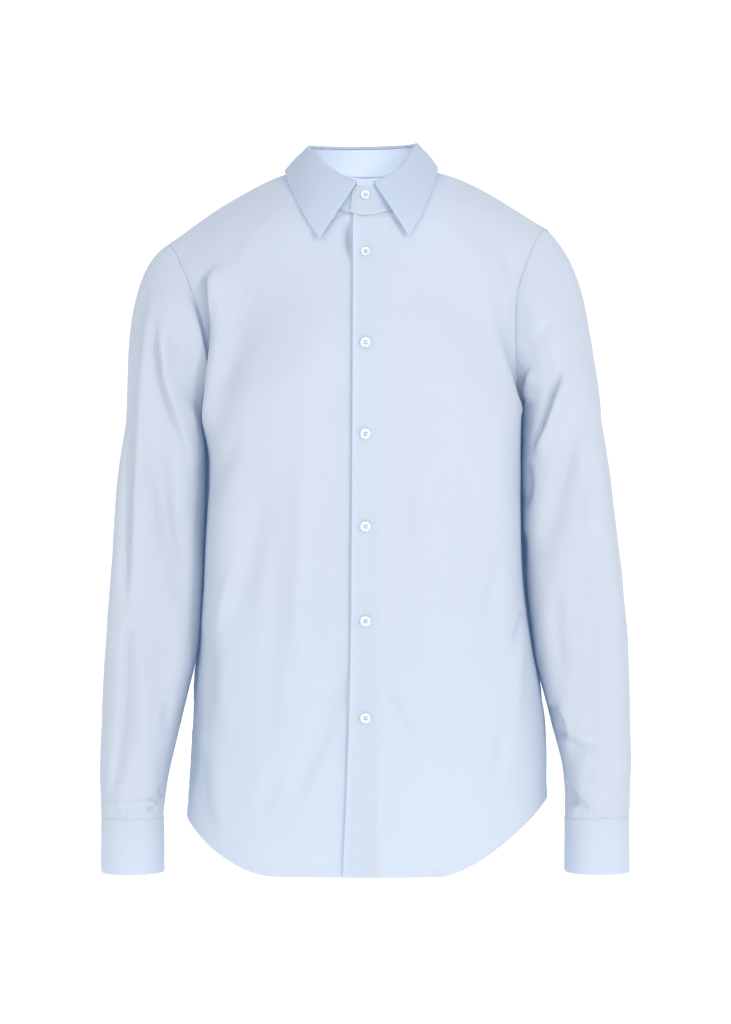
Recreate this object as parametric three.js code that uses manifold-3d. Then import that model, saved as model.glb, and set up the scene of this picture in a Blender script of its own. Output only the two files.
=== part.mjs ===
// A long-sleeved button-front poplin shirt, filled out as it is worn, with nobody in it: two fronts, back and
// yoke, a point collar on its stand, set-in sleeves with plackets and cuffs, and four-hole buttons.
// Millimetres, +Z up, X towards the wearer's left, the front facing -Y. The origin lies midway between the two
// neck points of the shoulders, where the wearer carries the shirt.
import * as THREE from "three";
import { mergeVertices } from "three/addons/utils/BufferGeometryUtils.js";
import Module from "manifold-3d";

const wasm = await Module();
wasm.setup();

// ---------------------------------------------------------------- driving sizes
const CLOTH = 1.2; // wall of the single cloth
const FUSED = 1.6; // wall of the collar, stand and cuffs: two plies on an interlining
const SEAM_GAP = 0.3; // between sewn pieces
const LAP_DEPTH = 2.1; // how far the under front lies behind the upper one
const LAP_FADE = 40; // width over which the under front comes level again
const LEFT = 1;
const RIGHT = -1;

// ---------------------------------------------------------------- curves and tables
const vec = (x, y, z) => new THREE.Vector3(x, y, z);
const mix = (a, b, t) => a + (b - a) * t;
const clamp01 = (t) => Math.min(1, Math.max(0, t));
const smooth = (t) => clamp01(t) ** 2 * (3 - 2 * clamp01(t));
const rising = (value, from, over) => smooth((value - from) / over); // 0 before "from", 1 once past "over" more

// A smooth function of "at" through one column of a table. A looped table repeats after "at" has grown by 1.
function column(rows, name, looped = false) {
  const first = { ...rows[0], at: rows[0].at + 1 };
  const last = { ...rows[rows.length - 1], at: rows[rows.length - 1].at - 1 };
  const knots = looped ? [last, ...rows, first, { ...rows[1], at: rows[1].at + 1 }] : rows;
  // At a peak or a dip the slope is level, so that the curve never swings past its knots.
  const slope = (i) => {
    const before = knots[Math.max(0, i - 1)];
    const here = knots[i];
    const after = knots[Math.min(knots.length - 1, i + 1)];
    const turns = (here[name] - before[name]) * (after[name] - here[name]) <= 0;
    const inside = i > 0 && i < knots.length - 1;
    return inside && turns ? 0 : (after[name] - before[name]) / (after.at - before.at);
  };
  return (at) => {
    const place = looped ? at - Math.floor(at) : at;
    let i = 0;
    while (i < knots.length - 2 && place > knots[i + 1].at) i += 1;
    const [a, b] = [knots[i], knots[i + 1]];
    const span = b.at - a.at;
    const t = clamp01((place - a.at) / span);
    const rise = t * t * (3 - 2 * t);
    const leave = t * (1 - t) * (1 - t) * span * slope(i);
    const arrive = t * t * (t - 1) * span * slope(i + 1);
    return mix(a[name], b[name], rise) + leave + arrive;
  };
}

// The columns x, y and z of a table as one curve in space.
function pathOf(rows, looped = false, names = ["x", "y", "z"]) {
  const [x, y, z] = names.map((name) => column(rows, name, looped));
  return (at) => vec(x(at), y(at), z(at));
}

// Height of the folds at a place on a piece. Each fold is a soft ridge (or a trough, if its height is negative)
// from one place to another; across and along turn the piece's own 0 to 1 coordinates into millimetres.
function foldHeight(folds, a, b, across, along) {
  return folds.reduce((sum, fold) => {
    const [ax, ay] = [(a - fold.a0) * across, (b - fold.b0) * along];
    const [dx, dy] = [(fold.a1 - fold.a0) * across, (fold.b1 - fold.b0) * along];
    const share = (ax * dx + ay * dy) / (dx * dx + dy * dy);
    const near = clamp01(share);
    const off = Math.hypot(ax - dx * near, ay - dy * near) / fold.width;
    const swell = 0.35 + 0.65 * Math.sin(Math.PI * near);
    return sum + fold.height * swell * Math.exp(-off * off);
  }, 0);
}

// ---------------------------------------------------------------- walls of cloth
const steps = (from, to, count) => Array.from({ length: count }, (_, i) => mix(from, to, i / count));

// A closed wall on both sides of surface(a, b), through the places listed in across (a) and along (b). A tube
// closes on itself: its last place across joins the first.
function clothWall(surface, { across, along, wall, tube = false }) {
  const nudge = 1e-4;
  const normalAt = (a, b) => {
    const [a0, a1] = tube ? [a - nudge, a + nudge] : [Math.max(0, a - nudge), Math.min(1, a + nudge)];
    const [b0, b1] = [Math.max(0, b - nudge), Math.min(1, b + nudge)];
    const da = surface(a1, b).sub(surface(a0, b));
    const db = surface(a, b1).sub(surface(a, b0));
    return da.cross(db).normalize();
  };
  const [columns, rows] = [across.length, along.length];
  const layer = columns * rows;
  const positions = new Float32Array(layer * 6);
  along.forEach((b, j) => {
    across.forEach((a, i) => {
      const middle = surface(a, b);
      const half = normalAt(a, b).multiplyScalar(wall / 2);
      const at = j * columns + i;
      middle.clone().add(half).toArray(positions, at * 3);
      middle.clone().sub(half).toArray(positions, (layer + at) * 3);
    });
  });
  const outer = (i, j) => j * columns + (i % columns);
  const inner = (i, j) => layer + outer(i, j);
  const faces = [];
  const quad = (p, q, r, s) => faces.push(p, q, r, p, r, s);
  const [lastColumn, lastRow] = [tube ? columns : columns - 1, rows - 1];
  for (let j = 0; j < lastRow; j += 1) {
    for (let i = 0; i < lastColumn; i += 1) {
      quad(outer(i, j), outer(i + 1, j), outer(i + 1, j + 1), outer(i, j + 1));
      quad(inner(i, j), inner(i, j + 1), inner(i + 1, j + 1), inner(i + 1, j));
    }
  }
  for (let i = 0; i < lastColumn; i += 1) {
    quad(outer(i + 1, 0), outer(i, 0), inner(i, 0), inner(i + 1, 0));
    quad(outer(i, lastRow), outer(i + 1, lastRow), inner(i + 1, lastRow), inner(i, lastRow));
  }
  for (let j = 0; j < lastRow && !tube; j += 1) {
    quad(outer(0, j), outer(0, j + 1), inner(0, j + 1), inner(0, j));
    quad(outer(lastColumn, j + 1), outer(lastColumn, j), inner(lastColumn, j), inner(lastColumn, j + 1));
  }
  const geometry = new THREE.BufferGeometry();
  geometry.setAttribute("position", new THREE.BufferAttribute(positions, 3));
  geometry.setIndex(faces);
  return geometry;
}

// The normal of a surface at one place, for what is moved out from a panel.
function normalOf(surface, a, b, side) {
  const nudge = 1e-3;
  const da = surface(a + nudge, b).sub(surface(a - nudge, b));
  const db = surface(a, b + nudge).sub(surface(a, b - nudge));
  return da.cross(db).normalize().multiplyScalar(side);
}

// Left and right are worked out alike, as on the wearer's left, and mirrored() puts the right one in place.
const mirrored = (point, side) => vec(point.x * side, point.y, point.z);

// ---------------------------------------------------------------- armholes
// Each armhole is a loop from the underarm up the front, over the shoulder and down the back.
const ARMHOLE = {
  [LEFT]: [
    { at: 0.0, x: 168, y: 6, z: -246 }, // underarm
    { at: 0.09, x: 163, y: -26, z: -230 },
    { at: 0.2, x: 160, y: -47, z: -182 },
    { at: 0.32, x: 163, y: -46, z: -124 },
    { at: 0.44, x: 184, y: -19, z: -69 }, // front seam of the yoke
    { at: 0.5, x: 195, y: 3, z: -58 }, // top of the shoulder
    { at: 0.57, x: 200, y: 30, z: -68 },
    { at: 0.67, x: 195, y: 60, z: -104 }, // back seam of the yoke
    { at: 0.8, x: 182, y: 72, z: -166 },
    { at: 0.92, x: 171, y: 46, z: -228 },
  ],
  [RIGHT]: [
    { at: 0.0, x: 168, y: 6, z: -252 },
    { at: 0.09, x: 165, y: -20, z: -236 },
    { at: 0.2, x: 167, y: -38, z: -188 },
    { at: 0.32, x: 182, y: -42, z: -136 },
    { at: 0.44, x: 204, y: -17, z: -84 },
    { at: 0.5, x: 213, y: 4, z: -74 },
    { at: 0.57, x: 213, y: 30, z: -82 },
    { at: 0.67, x: 202, y: 60, z: -112 },
    { at: 0.8, x: 186, y: 72, z: -172 },
    { at: 0.92, x: 172, y: 46, z: -234 },
  ],
};
const AT_FRONT_SEAM = 0.44;
const AT_SHOULDER = 0.5;
const AT_BACK_SEAM = 0.67;
const armhole = { [LEFT]: pathOf(ARMHOLE[LEFT], true), [RIGHT]: pathOf(ARMHOLE[RIGHT], true) };

// ---------------------------------------------------------------- neck
// One half of the neck, from the centre front (at 0) to the centre back (at 1), with a row of the other half
// past each end: the seam that joins collar stand and body, and the top of the stand.
const NECK = [
  { at: -0.22, x: -38, y: -84, z: -37, topX: -33, topY: -79, topZ: -4 },
  { at: 0.0, x: 0, y: -96, z: -50, topX: 0, topY: -90, topZ: -20 },
  { at: 0.22, x: 38, y: -84, z: -37, topX: 33, topY: -79, topZ: -4 },
  { at: 0.42, x: 61, y: -53, z: -13, topX: 51, topY: -51, topZ: 19 },
  { at: 0.58, x: 69, y: -14, z: 3, topX: 55.5, topY: -17, topZ: 30 },
  { at: 0.8, x: 54, y: 37, z: 6, topX: 47, topY: 31, topZ: 33 },
  { at: 1.0, x: 0, y: 61, z: 4, topX: 0, topY: 53, topZ: 32 },
  { at: 1.2, x: -54, y: 37, z: 6, topX: -47, topY: 31, topZ: 33 },
];
const AT_NECK_POINT = 0.58; // where the front seam of the yoke meets the neck
const neckSeam = pathOf(NECK);
const standTop = pathOf(NECK, false, ["topX", "topY", "topZ"]);

// ---------------------------------------------------------------- fronts
// Rows from the hem up to the shoulder. A row is part of a quarter of a superellipse from the centre front to
// the side seam or armhole. Power squares it off and wrap says how much of the quarter it takes.
const BODY = [
  { at: 0.0, frontY: -124, frontZ: -744, power: 2.35, wrap: 1 },
  { at: 0.16, frontY: -123, frontZ: -622, power: 2.45, wrap: 1 },
  { at: 0.32, frontY: -119, frontZ: -486, power: 2.7, wrap: 1 },
  { at: 0.48, frontY: -119, frontZ: -348, power: 2.85, wrap: 1 },
  { at: 0.64, frontY: -121, frontZ: -205, power: 2.8, wrap: 1 },
  { at: 0.8, frontY: -96, frontZ: -50, power: 2.2, wrap: 0.72 },
  { at: 1.0, frontY: -65, frontZ: 144, power: 2.0, wrap: 0.55 },
];
const AT_UNDERARM = 0.64;
const AT_NECK = 0.8;
const bodyRow = Object.fromEntries(Object.keys(BODY[0]).map((name) => [name, column(BODY, name)]));

// The side seams, from the hem up to the underarm, and the last two rows, which end on the armhole. Past ramp,
// a row's height goes from the inner end's to the outer end's, and bend says how slowly it sets out.
const SIDE_SEAM = {
  [LEFT]: [
    { at: 0.0, x: 195, y: 3, z: -669, bend: 1.3, ramp: 0.4 },
    { at: 0.16, x: 191, y: 3, z: -584, bend: 1.3, ramp: 0.3 },
    { at: 0.32, x: 173, y: 4, z: -470, bend: 1.1, ramp: 0.15 },
    { at: 0.48, x: 166, y: 5, z: -358, bend: 1, ramp: 0.15 },
    { at: 0.64, x: 168, y: 6, z: -246, bend: 1, ramp: 0.15 },
    { at: 0.8, x: 168, y: 6, z: -246, bend: 1.2, ramp: 0.15 },
    { at: 1.0, x: 168, y: 6, z: -246, bend: 1.4, ramp: 0 },
  ],
  [RIGHT]: [
    { at: 0.0, x: 192, y: 3, z: -690, bend: 1.9, ramp: 0.5 },
    { at: 0.16, x: 186, y: 3, z: -594, bend: 1.5, ramp: 0.3 },
    { at: 0.32, x: 176, y: 4, z: -476, bend: 1.1, ramp: 0.15 },
    { at: 0.48, x: 170, y: 5, z: -364, bend: 1, ramp: 0.15 },
    { at: 0.64, x: 168, y: 6, z: -252, bend: 1, ramp: 0.15 },
    { at: 0.8, x: 168, y: 6, z: -252, bend: 1.2, ramp: 0.15 },
    { at: 1.0, x: 168, y: 6, z: -252, bend: 1.4, ramp: 0 },
  ],
};
const sideSeam = { [LEFT]: pathOf(SIDE_SEAM[LEFT]), [RIGHT]: pathOf(SIDE_SEAM[RIGHT]) };
const sideBend = { [LEFT]: column(SIDE_SEAM[LEFT], "bend"), [RIGHT]: column(SIDE_SEAM[RIGHT], "bend") };
const sideRamp = { [LEFT]: column(SIDE_SEAM[LEFT], "ramp"), [RIGHT]: column(SIDE_SEAM[RIGHT], "ramp") };

// How far each front goes past the centre front.
const LAP = [
  { at: 0.0, upper: 24, under: 12 },
  { at: 0.15, upper: 19, under: 13 },
  { at: 0.32, upper: 15.5, under: 15 },
  { at: 0.8, upper: 13, under: 15 },
];
const lap = { [LEFT]: column(LAP, "upper"), [RIGHT]: column(LAP, "under") };
const NECK_LAP = { [LEFT]: 0.075, [RIGHT]: 0.087 }; // the same at the neck, as a share of the half neck
const LAP_COVER = 26; // the under front stays behind as far as this from the centre

// Folds of the fronts, in shares of a front's width from the centre and of its length from the hem. The wearer's
// right front breaks over the front of the armhole; soft slack runs down from the chest and out to the hem.
const FRONT_FOLDS = {
  [RIGHT]: [
    { a0: 0.72, b0: 0.92, a1: 0.82, b1: 0.62, width: 20, height: 8 }, // break over the armhole
    { a0: 0.3, b0: 0.66, a1: 0.4, b1: 0.22, width: 30, height: -3.5 },
    { a0: 0.2, b0: 0.24, a1: 0.42, b1: 0.05, width: 22, height: 3 },
    { a0: 0.62, b0: 0.56, a1: 0.6, b1: 0.2, width: 26, height: 3 },
    { a0: 0.86, b0: 0.2, a1: 0.95, b1: 0.05, width: 22, height: -5 },
  ],
  [LEFT]: [
    { a0: 0.7, b0: 0.82, a1: 0.8, b1: 0.58, width: 24, height: 5 },
    { a0: 0.2, b0: 0.3, a1: 0.34, b1: 0.08, width: 22, height: -3.5 },
    { a0: 0.45, b0: 0.7, a1: 0.42, b1: 0.24, width: 32, height: -3 },
    { a0: 0.88, b0: 0.26, a1: 0.92, b1: 0.08, width: 20, height: 3 },
  ],
};
const FRONT_WIDTH = 220; // around the row, for the folds
const FRONT_LENGTH = 720;
// Shares of a piece's length or width over which its folds and the steps at its seams fade.
const SEAM_FADE = 0.1;
const YOKE_FADE = 0.04;
const UNDERARM_FADE = 0.02;
const FOLD_FADE = { hem: 0.05, top: 0.12, seam: 0.09, centre: 0.1 };
const FOLD_START = 0.12; // the strip beside the centre front stays plain

// One row, from inner to outer; a is the share of the way round it. Where the inner end lies past the centre, the
// row goes on across it.
function rowPoint(a, inner, outer, { power, wrap, ramp, bend }) {
  const sine = (turn) => Math.sign(turn) * Math.abs(Math.sin(turn)) ** (2 / power);
  const cosine = (turn) => Math.max(0, Math.cos(turn)) ** (2 / power);
  const end = (wrap * Math.PI) / 2;
  const from = Math.max(0, inner.x);
  const width = (outer.x - from) / sine(end);
  const start = -Math.asin(Math.max(0, -inner.x / width) ** (power / 2));
  const turn = mix(start, end, a);
  const x = from + width * sine(turn);
  const level = (cosine(turn) - cosine(end)) / (1 - cosine(end));
  const out = clamp01((x - from) / (outer.x - from));
  const climb = clamp01((out - ramp) / (1 - ramp)) ** bend;
  return vec(x, mix(outer.y, inner.y, level), mix(inner.z, outer.z, climb));
}

// What shapes the row at b.
function rowShape(side, b) {
  const own = { ramp: sideRamp[side](b), bend: sideBend[side](b) };
  return { power: bodyRow.power(b), wrap: bodyRow.wrap(b), ...own };
}

// The side seam, then the front of the armhole.
function frontOuterEdge(side, b) {
  if (b <= AT_UNDERARM) return sideSeam[side](b);
  return armhole[side](((b - AT_UNDERARM) / (1 - AT_UNDERARM)) * AT_FRONT_SEAM);
}

// The front edge past the centre, then the neck seam up to the neck point.
function frontInnerEdge(side, b) {
  if (b <= AT_NECK) return vec(-lap[side](b), bodyRow.frontY(b), bodyRow.frontZ(b));
  return neckSeam(mix(-NECK_LAP[side], AT_NECK_POINT, (b - AT_NECK) / (1 - AT_NECK)));
}

// Each place is the mean of five on the rows above and below it, so that the cloth turns softly where the rows'
// ends turn a corner, at the foot of the neck and at the underarm.
const MEAN_REACH = 0.07; // share of the length, each way
const MEAN_WEIGHTS = [1, 2, 3, 2, 1];
const MEAN_START = 0.12; // it sets in past the lap, and ends at the outer edge
const MEAN_OVER = { centre: 0.3, edge: 0.25, ends: 0.1 };
function evenedRow(side, a, b) {
  const inside = rising(a, MEAN_START, MEAN_OVER.centre) * rising(1 - a, 0, MEAN_OVER.edge);
  const reach = MEAN_REACH * inside * rising(b, 0, MEAN_OVER.ends) * rising(1 - b, 0, MEAN_OVER.ends);
  const total = MEAN_WEIGHTS.reduce((sum, weight) => sum + weight);
  const middle = (MEAN_WEIGHTS.length - 1) / 2;
  return MEAN_WEIGHTS.reduce((point, weight, k) => {
    const near = b + (reach * (k - middle)) / middle;
    const place = rowPoint(a, frontInnerEdge(side, near), frontOuterEdge(side, near), rowShape(side, near));
    return point.addScaledVector(place, weight / total);
  }, vec(0, 0, 0));
}

function frontSurface(side) {
  return (a, b) => {
    const point = evenedRow(side, a, b);
    if (side === RIGHT) point.y += LAP_DEPTH * (1 - rising(point.x, LAP_COVER, LAP_FADE));
    const belowArm = 1 - rising(b, AT_UNDERARM, UNDERARM_FADE);
    point.y -= (SEAM_GAP / 2) * rising(a, 1 - SEAM_FADE, SEAM_FADE) * belowArm;
    point.y -= SEAM_GAP * rising(b, 1 - YOKE_FADE, YOKE_FADE);
    const sideways = rising(1 - a, 0, FOLD_FADE.seam) * rising(a, FOLD_START, FOLD_FADE.centre);
    const upAndDown = rising(b, 0, FOLD_FADE.hem) * rising(1 - b, 0, FOLD_FADE.top);
    const height = foldHeight(FRONT_FOLDS[side], a, b, FRONT_WIDTH, FRONT_LENGTH) * sideways * upAndDown;
    point.x += height * Math.sin((a * Math.PI) / 2);
    point.y -= height * Math.cos((a * Math.PI) / 2);
    return mirrored(point, side);
  };
}
const leftFront = frontSurface(LEFT);
const rightFront = frontSurface(RIGHT);

// ---------------------------------------------------------------- back
const BACK = [
  { at: 0.0, backY: 119, backZ: -752, wrap: 1 },
  { at: 0.22, backY: 115, backZ: -620, wrap: 1 },
  { at: 0.44, backY: 101, backZ: -470, wrap: 1 },
  { at: 0.6, backY: 102, backZ: -346, wrap: 1 },
  { at: 0.73, backY: 112, backZ: -250, wrap: 1 },
  { at: 1.0, backY: 110, backZ: -98, wrap: 0.62 },
];
const BACK_UNDERARM = 16 / 22; // the row of the back that ends at the underarm
const backRow = Object.fromEntries(Object.keys(BACK[0]).map((name) => [name, column(BACK, name)]));
const BACK_FOLDS = [
  { a0: 0.2, b0: 0.86, a1: 0.3, b1: 0.4, width: 24, height: 5 },
  { a0: 0.8, b0: 0.9, a1: 0.72, b1: 0.36, width: 24, height: 5 },
  { a0: 0.36, b0: 0.6, a1: 0.4, b1: 0.16, width: 24, height: -4 },
  { a0: 0.62, b0: 0.52, a1: 0.6, b1: 0.1, width: 26, height: -4.5 },
  { a0: 0.5, b0: 0.5, a1: 0.52, b1: 0.06, width: 24, height: 3.5 },
];
const BACK_WIDTH = 440; // for the folds
const BACK_LENGTH = 640;

// a runs from the wearer's left side seam (0) to the right one (1).
function backSurface(a, b) {
  const side = a <= 0.5 ? LEFT : RIGHT;
  const share = Math.abs(a - 0.5) * 2;
  const low = (Math.min(b, BACK_UNDERARM) / BACK_UNDERARM) * AT_UNDERARM;
  const upper = clamp01((b - BACK_UNDERARM) / (1 - BACK_UNDERARM));
  const outer = upper > 0 ? armhole[side](mix(1, AT_BACK_SEAM, upper)) : sideSeam[side](low);
  const inner = vec(0, backRow.backY(b), backRow.backZ(b));
  const point = rowPoint(share, inner, outer, { ...rowShape(side, low), wrap: backRow.wrap(b) });
  point.y += (SEAM_GAP / 2) * rising(share, 1 - SEAM_FADE, SEAM_FADE) * (1 - upper);
  point.z -= SEAM_GAP * rising(b, 1 - YOKE_FADE, YOKE_FADE);
  const upAndDown = rising(b, 0, FOLD_FADE.hem) * rising(1 - b, 0, FOLD_FADE.top);
  const flat = upAndDown * rising(1 - share, 0, FOLD_FADE.seam);
  const height = foldHeight(BACK_FOLDS, a, b, BACK_WIDTH, BACK_LENGTH) * flat;
  point.x += height * Math.sin((share * Math.PI) / 2);
  point.y += height * Math.cos((share * Math.PI) / 2);
  return mirrored(point, side);
}

// ---------------------------------------------------------------- yoke
// From the back seam, over the ridge of the shoulders, to the neck and the front seams. a runs from the
// wearer's left armhole (0) to the right one (1); b from the back seam (0) to the neck or the front seam (1).
const FRONT_COLUMNS = 10;
const NECK_COLUMNS = 3; // columns of each half that end on the neck rather than on a front seam
const NECK_SHARE = NECK_COLUMNS / (NECK_COLUMNS + FRONT_COLUMNS);
const YOKE_PLACES = [0, 0.42, 0.84, 1]; // where the seam, the swell, the ridge and the front edge lie
const YOKE_SWELL = vec(0, 9, 12); // how far the swell lies off the straight line from seam to ridge
const RIDGE_Y = 6;
const RIDGE_NECK = vec(5, 0, 1.2); // how far from the neck point the ridge leaves the neck
const RIDGE_BEND = 1.38;
const NAPE_RISE = 4; // the ridge's height over the straight line, below the nape

function overShoulder(start, ridge, end, b) {
  const swell = start.clone().lerp(ridge, 0.5).add(YOKE_SWELL);
  const rows = [start, swell, ridge, end].map(({ x, y, z }, k) => ({ at: YOKE_PLACES[k], x, y, z }));
  return pathOf(rows)(b);
}

function yokeSurface(a, b) {
  const side = a <= 0.5 ? LEFT : RIGHT;
  const share = Math.abs(a - 0.5) * 2;
  const overNeck = share <= NECK_SHARE;
  const along = overNeck ? share / NECK_SHARE : (share - NECK_SHARE) / (1 - NECK_SHARE);
  const [backEnd, shoulder, frontEnd] = [AT_BACK_SEAM, AT_SHOULDER, AT_FRONT_SEAM].map((at) => armhole[side](at));
  const shape = rowShape(side, 1);
  const neckPoint = neckSeam(AT_NECK_POINT);
  const ridgeEnd = neckPoint.clone().add(RIDGE_NECK).setY(RIDGE_Y);
  const start = mirrored(backSurface(a, 1), side);
  start.z += 2 * SEAM_GAP;
  const end = overNeck ? neckSeam(mix(1, AT_NECK_POINT, along)) : rowPoint(along, neckPoint, frontEnd, shape);
  let ridge = rowPoint(along, ridgeEnd, shoulder, { ...shape, bend: RIDGE_BEND });
  if (overNeck) {
    ridge = start.clone().lerp(end, YOKE_PLACES[2]);
    ridge.z += NAPE_RISE;
    ridge.lerp(ridgeEnd, along ** 2);
  }
  const point = overShoulder(start, ridge, end, b);
  const onArmhole = armhole[side](mix(AT_BACK_SEAM, AT_FRONT_SEAM, b));
  const toEdge = overNeck ? 0 : along ** 3;
  point.addScaledVector(onArmhole.sub(overShoulder(backEnd, shoulder, frontEnd, b)), toEdge);
  return mirrored(point, side);
}

// ---------------------------------------------------------------- sleeves
// Rings of each sleeve from the upper arm to the cuff: the centre, the half width and half depth, and how far
// the ring is turned about the arm, in degrees.
const SLEEVE = {
  [LEFT]: [
    { at: 0.3, x: 212, y: 10, z: -264, wide: 42.5, deep: 68, turn: -4, power: 2.5 },
    { at: 0.4, x: 217, y: 8, z: -330, wide: 48, deep: 64, turn: -4, power: 2.8 },
    { at: 0.55, x: 224, y: 2, z: -430, wide: 51.5, deep: 58, turn: 0, power: 2.9 },
    { at: 0.68, x: 233, y: -6, z: -520, wide: 49.5, deep: 54, turn: 0, power: 2.8 },
    { at: 0.78, x: 241, y: -14, z: -585, wide: 42, deep: 51, turn: 0, power: 2.6 },
    { at: 0.88, x: 248, y: -20, z: -640, wide: 36, deep: 48, turn: 0, power: 2.4 },
    { at: 1.0, x: 248, y: -24, z: -688, wide: 34, deep: 42, turn: 0, power: 2.3 },
  ],
  [RIGHT]: [
    { at: 0.3, x: 215.5, y: 12, z: -268, wide: 44.5, deep: 68, turn: -4, power: 2.5 },
    { at: 0.4, x: 221, y: 12, z: -330, wide: 47.5, deep: 64, turn: -6, power: 2.7 },
    { at: 0.55, x: 225, y: 8, z: -430, wide: 50, deep: 58, turn: -4, power: 2.9 },
    { at: 0.68, x: 232, y: 0, z: -520, wide: 49.5, deep: 54, turn: -2, power: 2.8 },
    { at: 0.78, x: 241, y: -8, z: -585, wide: 42, deep: 51, turn: 0, power: 2.6 },
    { at: 0.88, x: 248, y: -14, z: -640, wide: 37, deep: 48, turn: 0, power: 2.4 },
    { at: 1.0, x: 250, y: -18, z: -689, wide: 33, deep: 42, turn: 0, power: 2.3 },
  ],
};
const AT_UPPER_ARM = 0.3;
const SLEEVE_FOLDS = {
  [RIGHT]: [
    { a0: 0.42, b0: 0.16, a1: 0.4, b1: 0.66, width: 10, height: 4 }, // ridge down the outside
    { a0: 0.36, b0: 0.24, a1: 0.2, b1: 0.56, width: 10, height: -5 }, // slanting trough
    { a0: 0.2, b0: 0.2, a1: 0.12, b1: 0.36, width: 11, height: 4 }, // fold into the underarm
    { a0: 0.34, b0: 0.52, a1: 0.16, b1: 0.76, width: 13, height: -4 },
    { a0: 0.62, b0: 0.3, a1: 0.8, b1: 0.6, width: 14, height: -4 },
    { a0: 0.12, b0: 0.955, a1: 0.42, b1: 0.97, width: 7, height: 3 }, // slack above the cuff
  ],
  [LEFT]: [
    { a0: 0.34, b0: 0.28, a1: 0.14, b1: 0.52, width: 10, height: -6 }, // slanting crease
    { a0: 0.4, b0: 0.34, a1: 0.2, b1: 0.58, width: 13, height: 4 },
    { a0: 0.2, b0: 0.84, a1: 0.36, b1: 0.9, width: 14, height: -4 },
    { a0: 0.1, b0: 0.93, a1: 0.2, b1: 0.985, width: 8, height: -4 }, // pleat into the cuff
    { a0: 0.64, b0: 0.34, a1: 0.82, b1: 0.62, width: 14, height: -4 },
  ],
};
const SLEEVE_AROUND = 340; // for the folds
const SLEEVE_LENGTH = 620;
const SLEEVE_FADE = { cap: 0.11, cuff: 0.033 }; // shares of its length over which they fade
const ARMHOLE_CLEAR = CLOTH / 2 + 2 * SEAM_GAP; // the sleeve starts this far off the edge of the armhole

const ringTable = (side) =>
  Object.fromEntries(Object.keys(SLEEVE[side][0]).map((name) => [name, column(SLEEVE[side], name)]));
const sleeveRing = { [LEFT]: ringTable(LEFT), [RIGHT]: ringTable(RIGHT) };

// A place on the ring at b; a is 0 at the underarm, 0.25 in front, 0.5 outside and 0.75 behind.
function ringPoint(side, a, b, grow = 0) {
  const ring = sleeveRing[side];
  const angle = a * 2 * Math.PI;
  const turn = THREE.MathUtils.degToRad(ring.turn(b));
  const power = ring.power(b);
  const square = (Math.abs(Math.cos(angle)) ** power + Math.abs(Math.sin(angle)) ** power) ** (-1 / power);
  const p = -(ring.wide(b) + grow) * Math.cos(angle) * square;
  const q = -(ring.deep(b) + grow) * Math.sin(angle) * square;
  const x = ring.x(b) + p * Math.cos(turn) - q * Math.sin(turn);
  const y = ring.y(b) + p * Math.sin(turn) + q * Math.cos(turn);
  return vec(x, y, ring.z(b));
}

// The cap leaves the top of the armhole outwards and down, and turns into the upper arm's ring.
const CAP = {
  [LEFT]: { out: 0.76, down: 0.65, swell: 0.82 },
  [RIGHT]: { out: 0.84, down: 0.54, swell: 0.9 },
};
const UNDER_CAP = { out: 0.9, down: 0.25 }; // the same at the underarm
const CAP_SPREAD = 0.42; // how much it leaves forwards in front and backwards behind
const ARM_LEAN = 0.08; // how much the upper arm runs outwards as it goes down
function capPoint(side, a, t) {
  const over = (1 - Math.cos(a * 2 * Math.PI)) / 2; // 0 at the underarm, 1 on top of the shoulder
  const { out, down, swell } = CAP[side];
  const sideways = -CAP_SPREAD * Math.sin(a * 2 * Math.PI);
  const away = vec(mix(UNDER_CAP.out, out, over), sideways, -mix(UNDER_CAP.down, down, over)).normalize();
  const from = armhole[side](a).addScaledVector(away, ARMHOLE_CLEAR);
  const to = ringPoint(side, a, AT_UPPER_ARM);
  const reach = from.distanceTo(to);
  const [t2, t3] = [t * t, t * t * t];
  return from
    .multiplyScalar(2 * t3 - 3 * t2 + 1)
    .addScaledVector(away, (t3 - 2 * t2 + t) * reach * swell)
    .addScaledVector(to, 3 * t2 - 2 * t3)
    .addScaledVector(vec(ARM_LEAN, 0, -1), (t3 - t2) * reach * swell);
}

function sleeveSurface(side) {
  return (a, b) => {
    const point = b < AT_UPPER_ARM ? capPoint(side, a, b / AT_UPPER_ARM) : ringPoint(side, a, b);
    const flat = rising(b, 0, SLEEVE_FADE.cap) * rising(1 - b, 0, SLEEVE_FADE.cuff);
    const height = foldHeight(SLEEVE_FOLDS[side], a - Math.floor(a), b, SLEEVE_AROUND, SLEEVE_LENGTH) * flat;
    point.x -= height * Math.cos(a * 2 * Math.PI);
    point.y -= height * Math.sin(a * 2 * Math.PI);
    return mirrored(point, side);
  };
}
const sleeve = { [LEFT]: sleeveSurface(LEFT), [RIGHT]: sleeveSurface(RIGHT) };

// ---------------------------------------------------------------- cuffs and sleeve plackets
const CUFF_DEPTH = 60;
const CUFF_SPREAD = 0.6; // the cuff's rim stands this much wider than its top
const CUFF_END = 0.79; // where the cuff's upper end lies, behind the wrist
const CUFF_LAP = 0.085; // share of the way round that its ends overlap
const CUFF_LAP_STEP = 2.3; // how far the upper end lies outside the under one
const CUFF_CORNER = 9; // radius of the lower corners
const CUFF_AROUND = 245;

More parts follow.
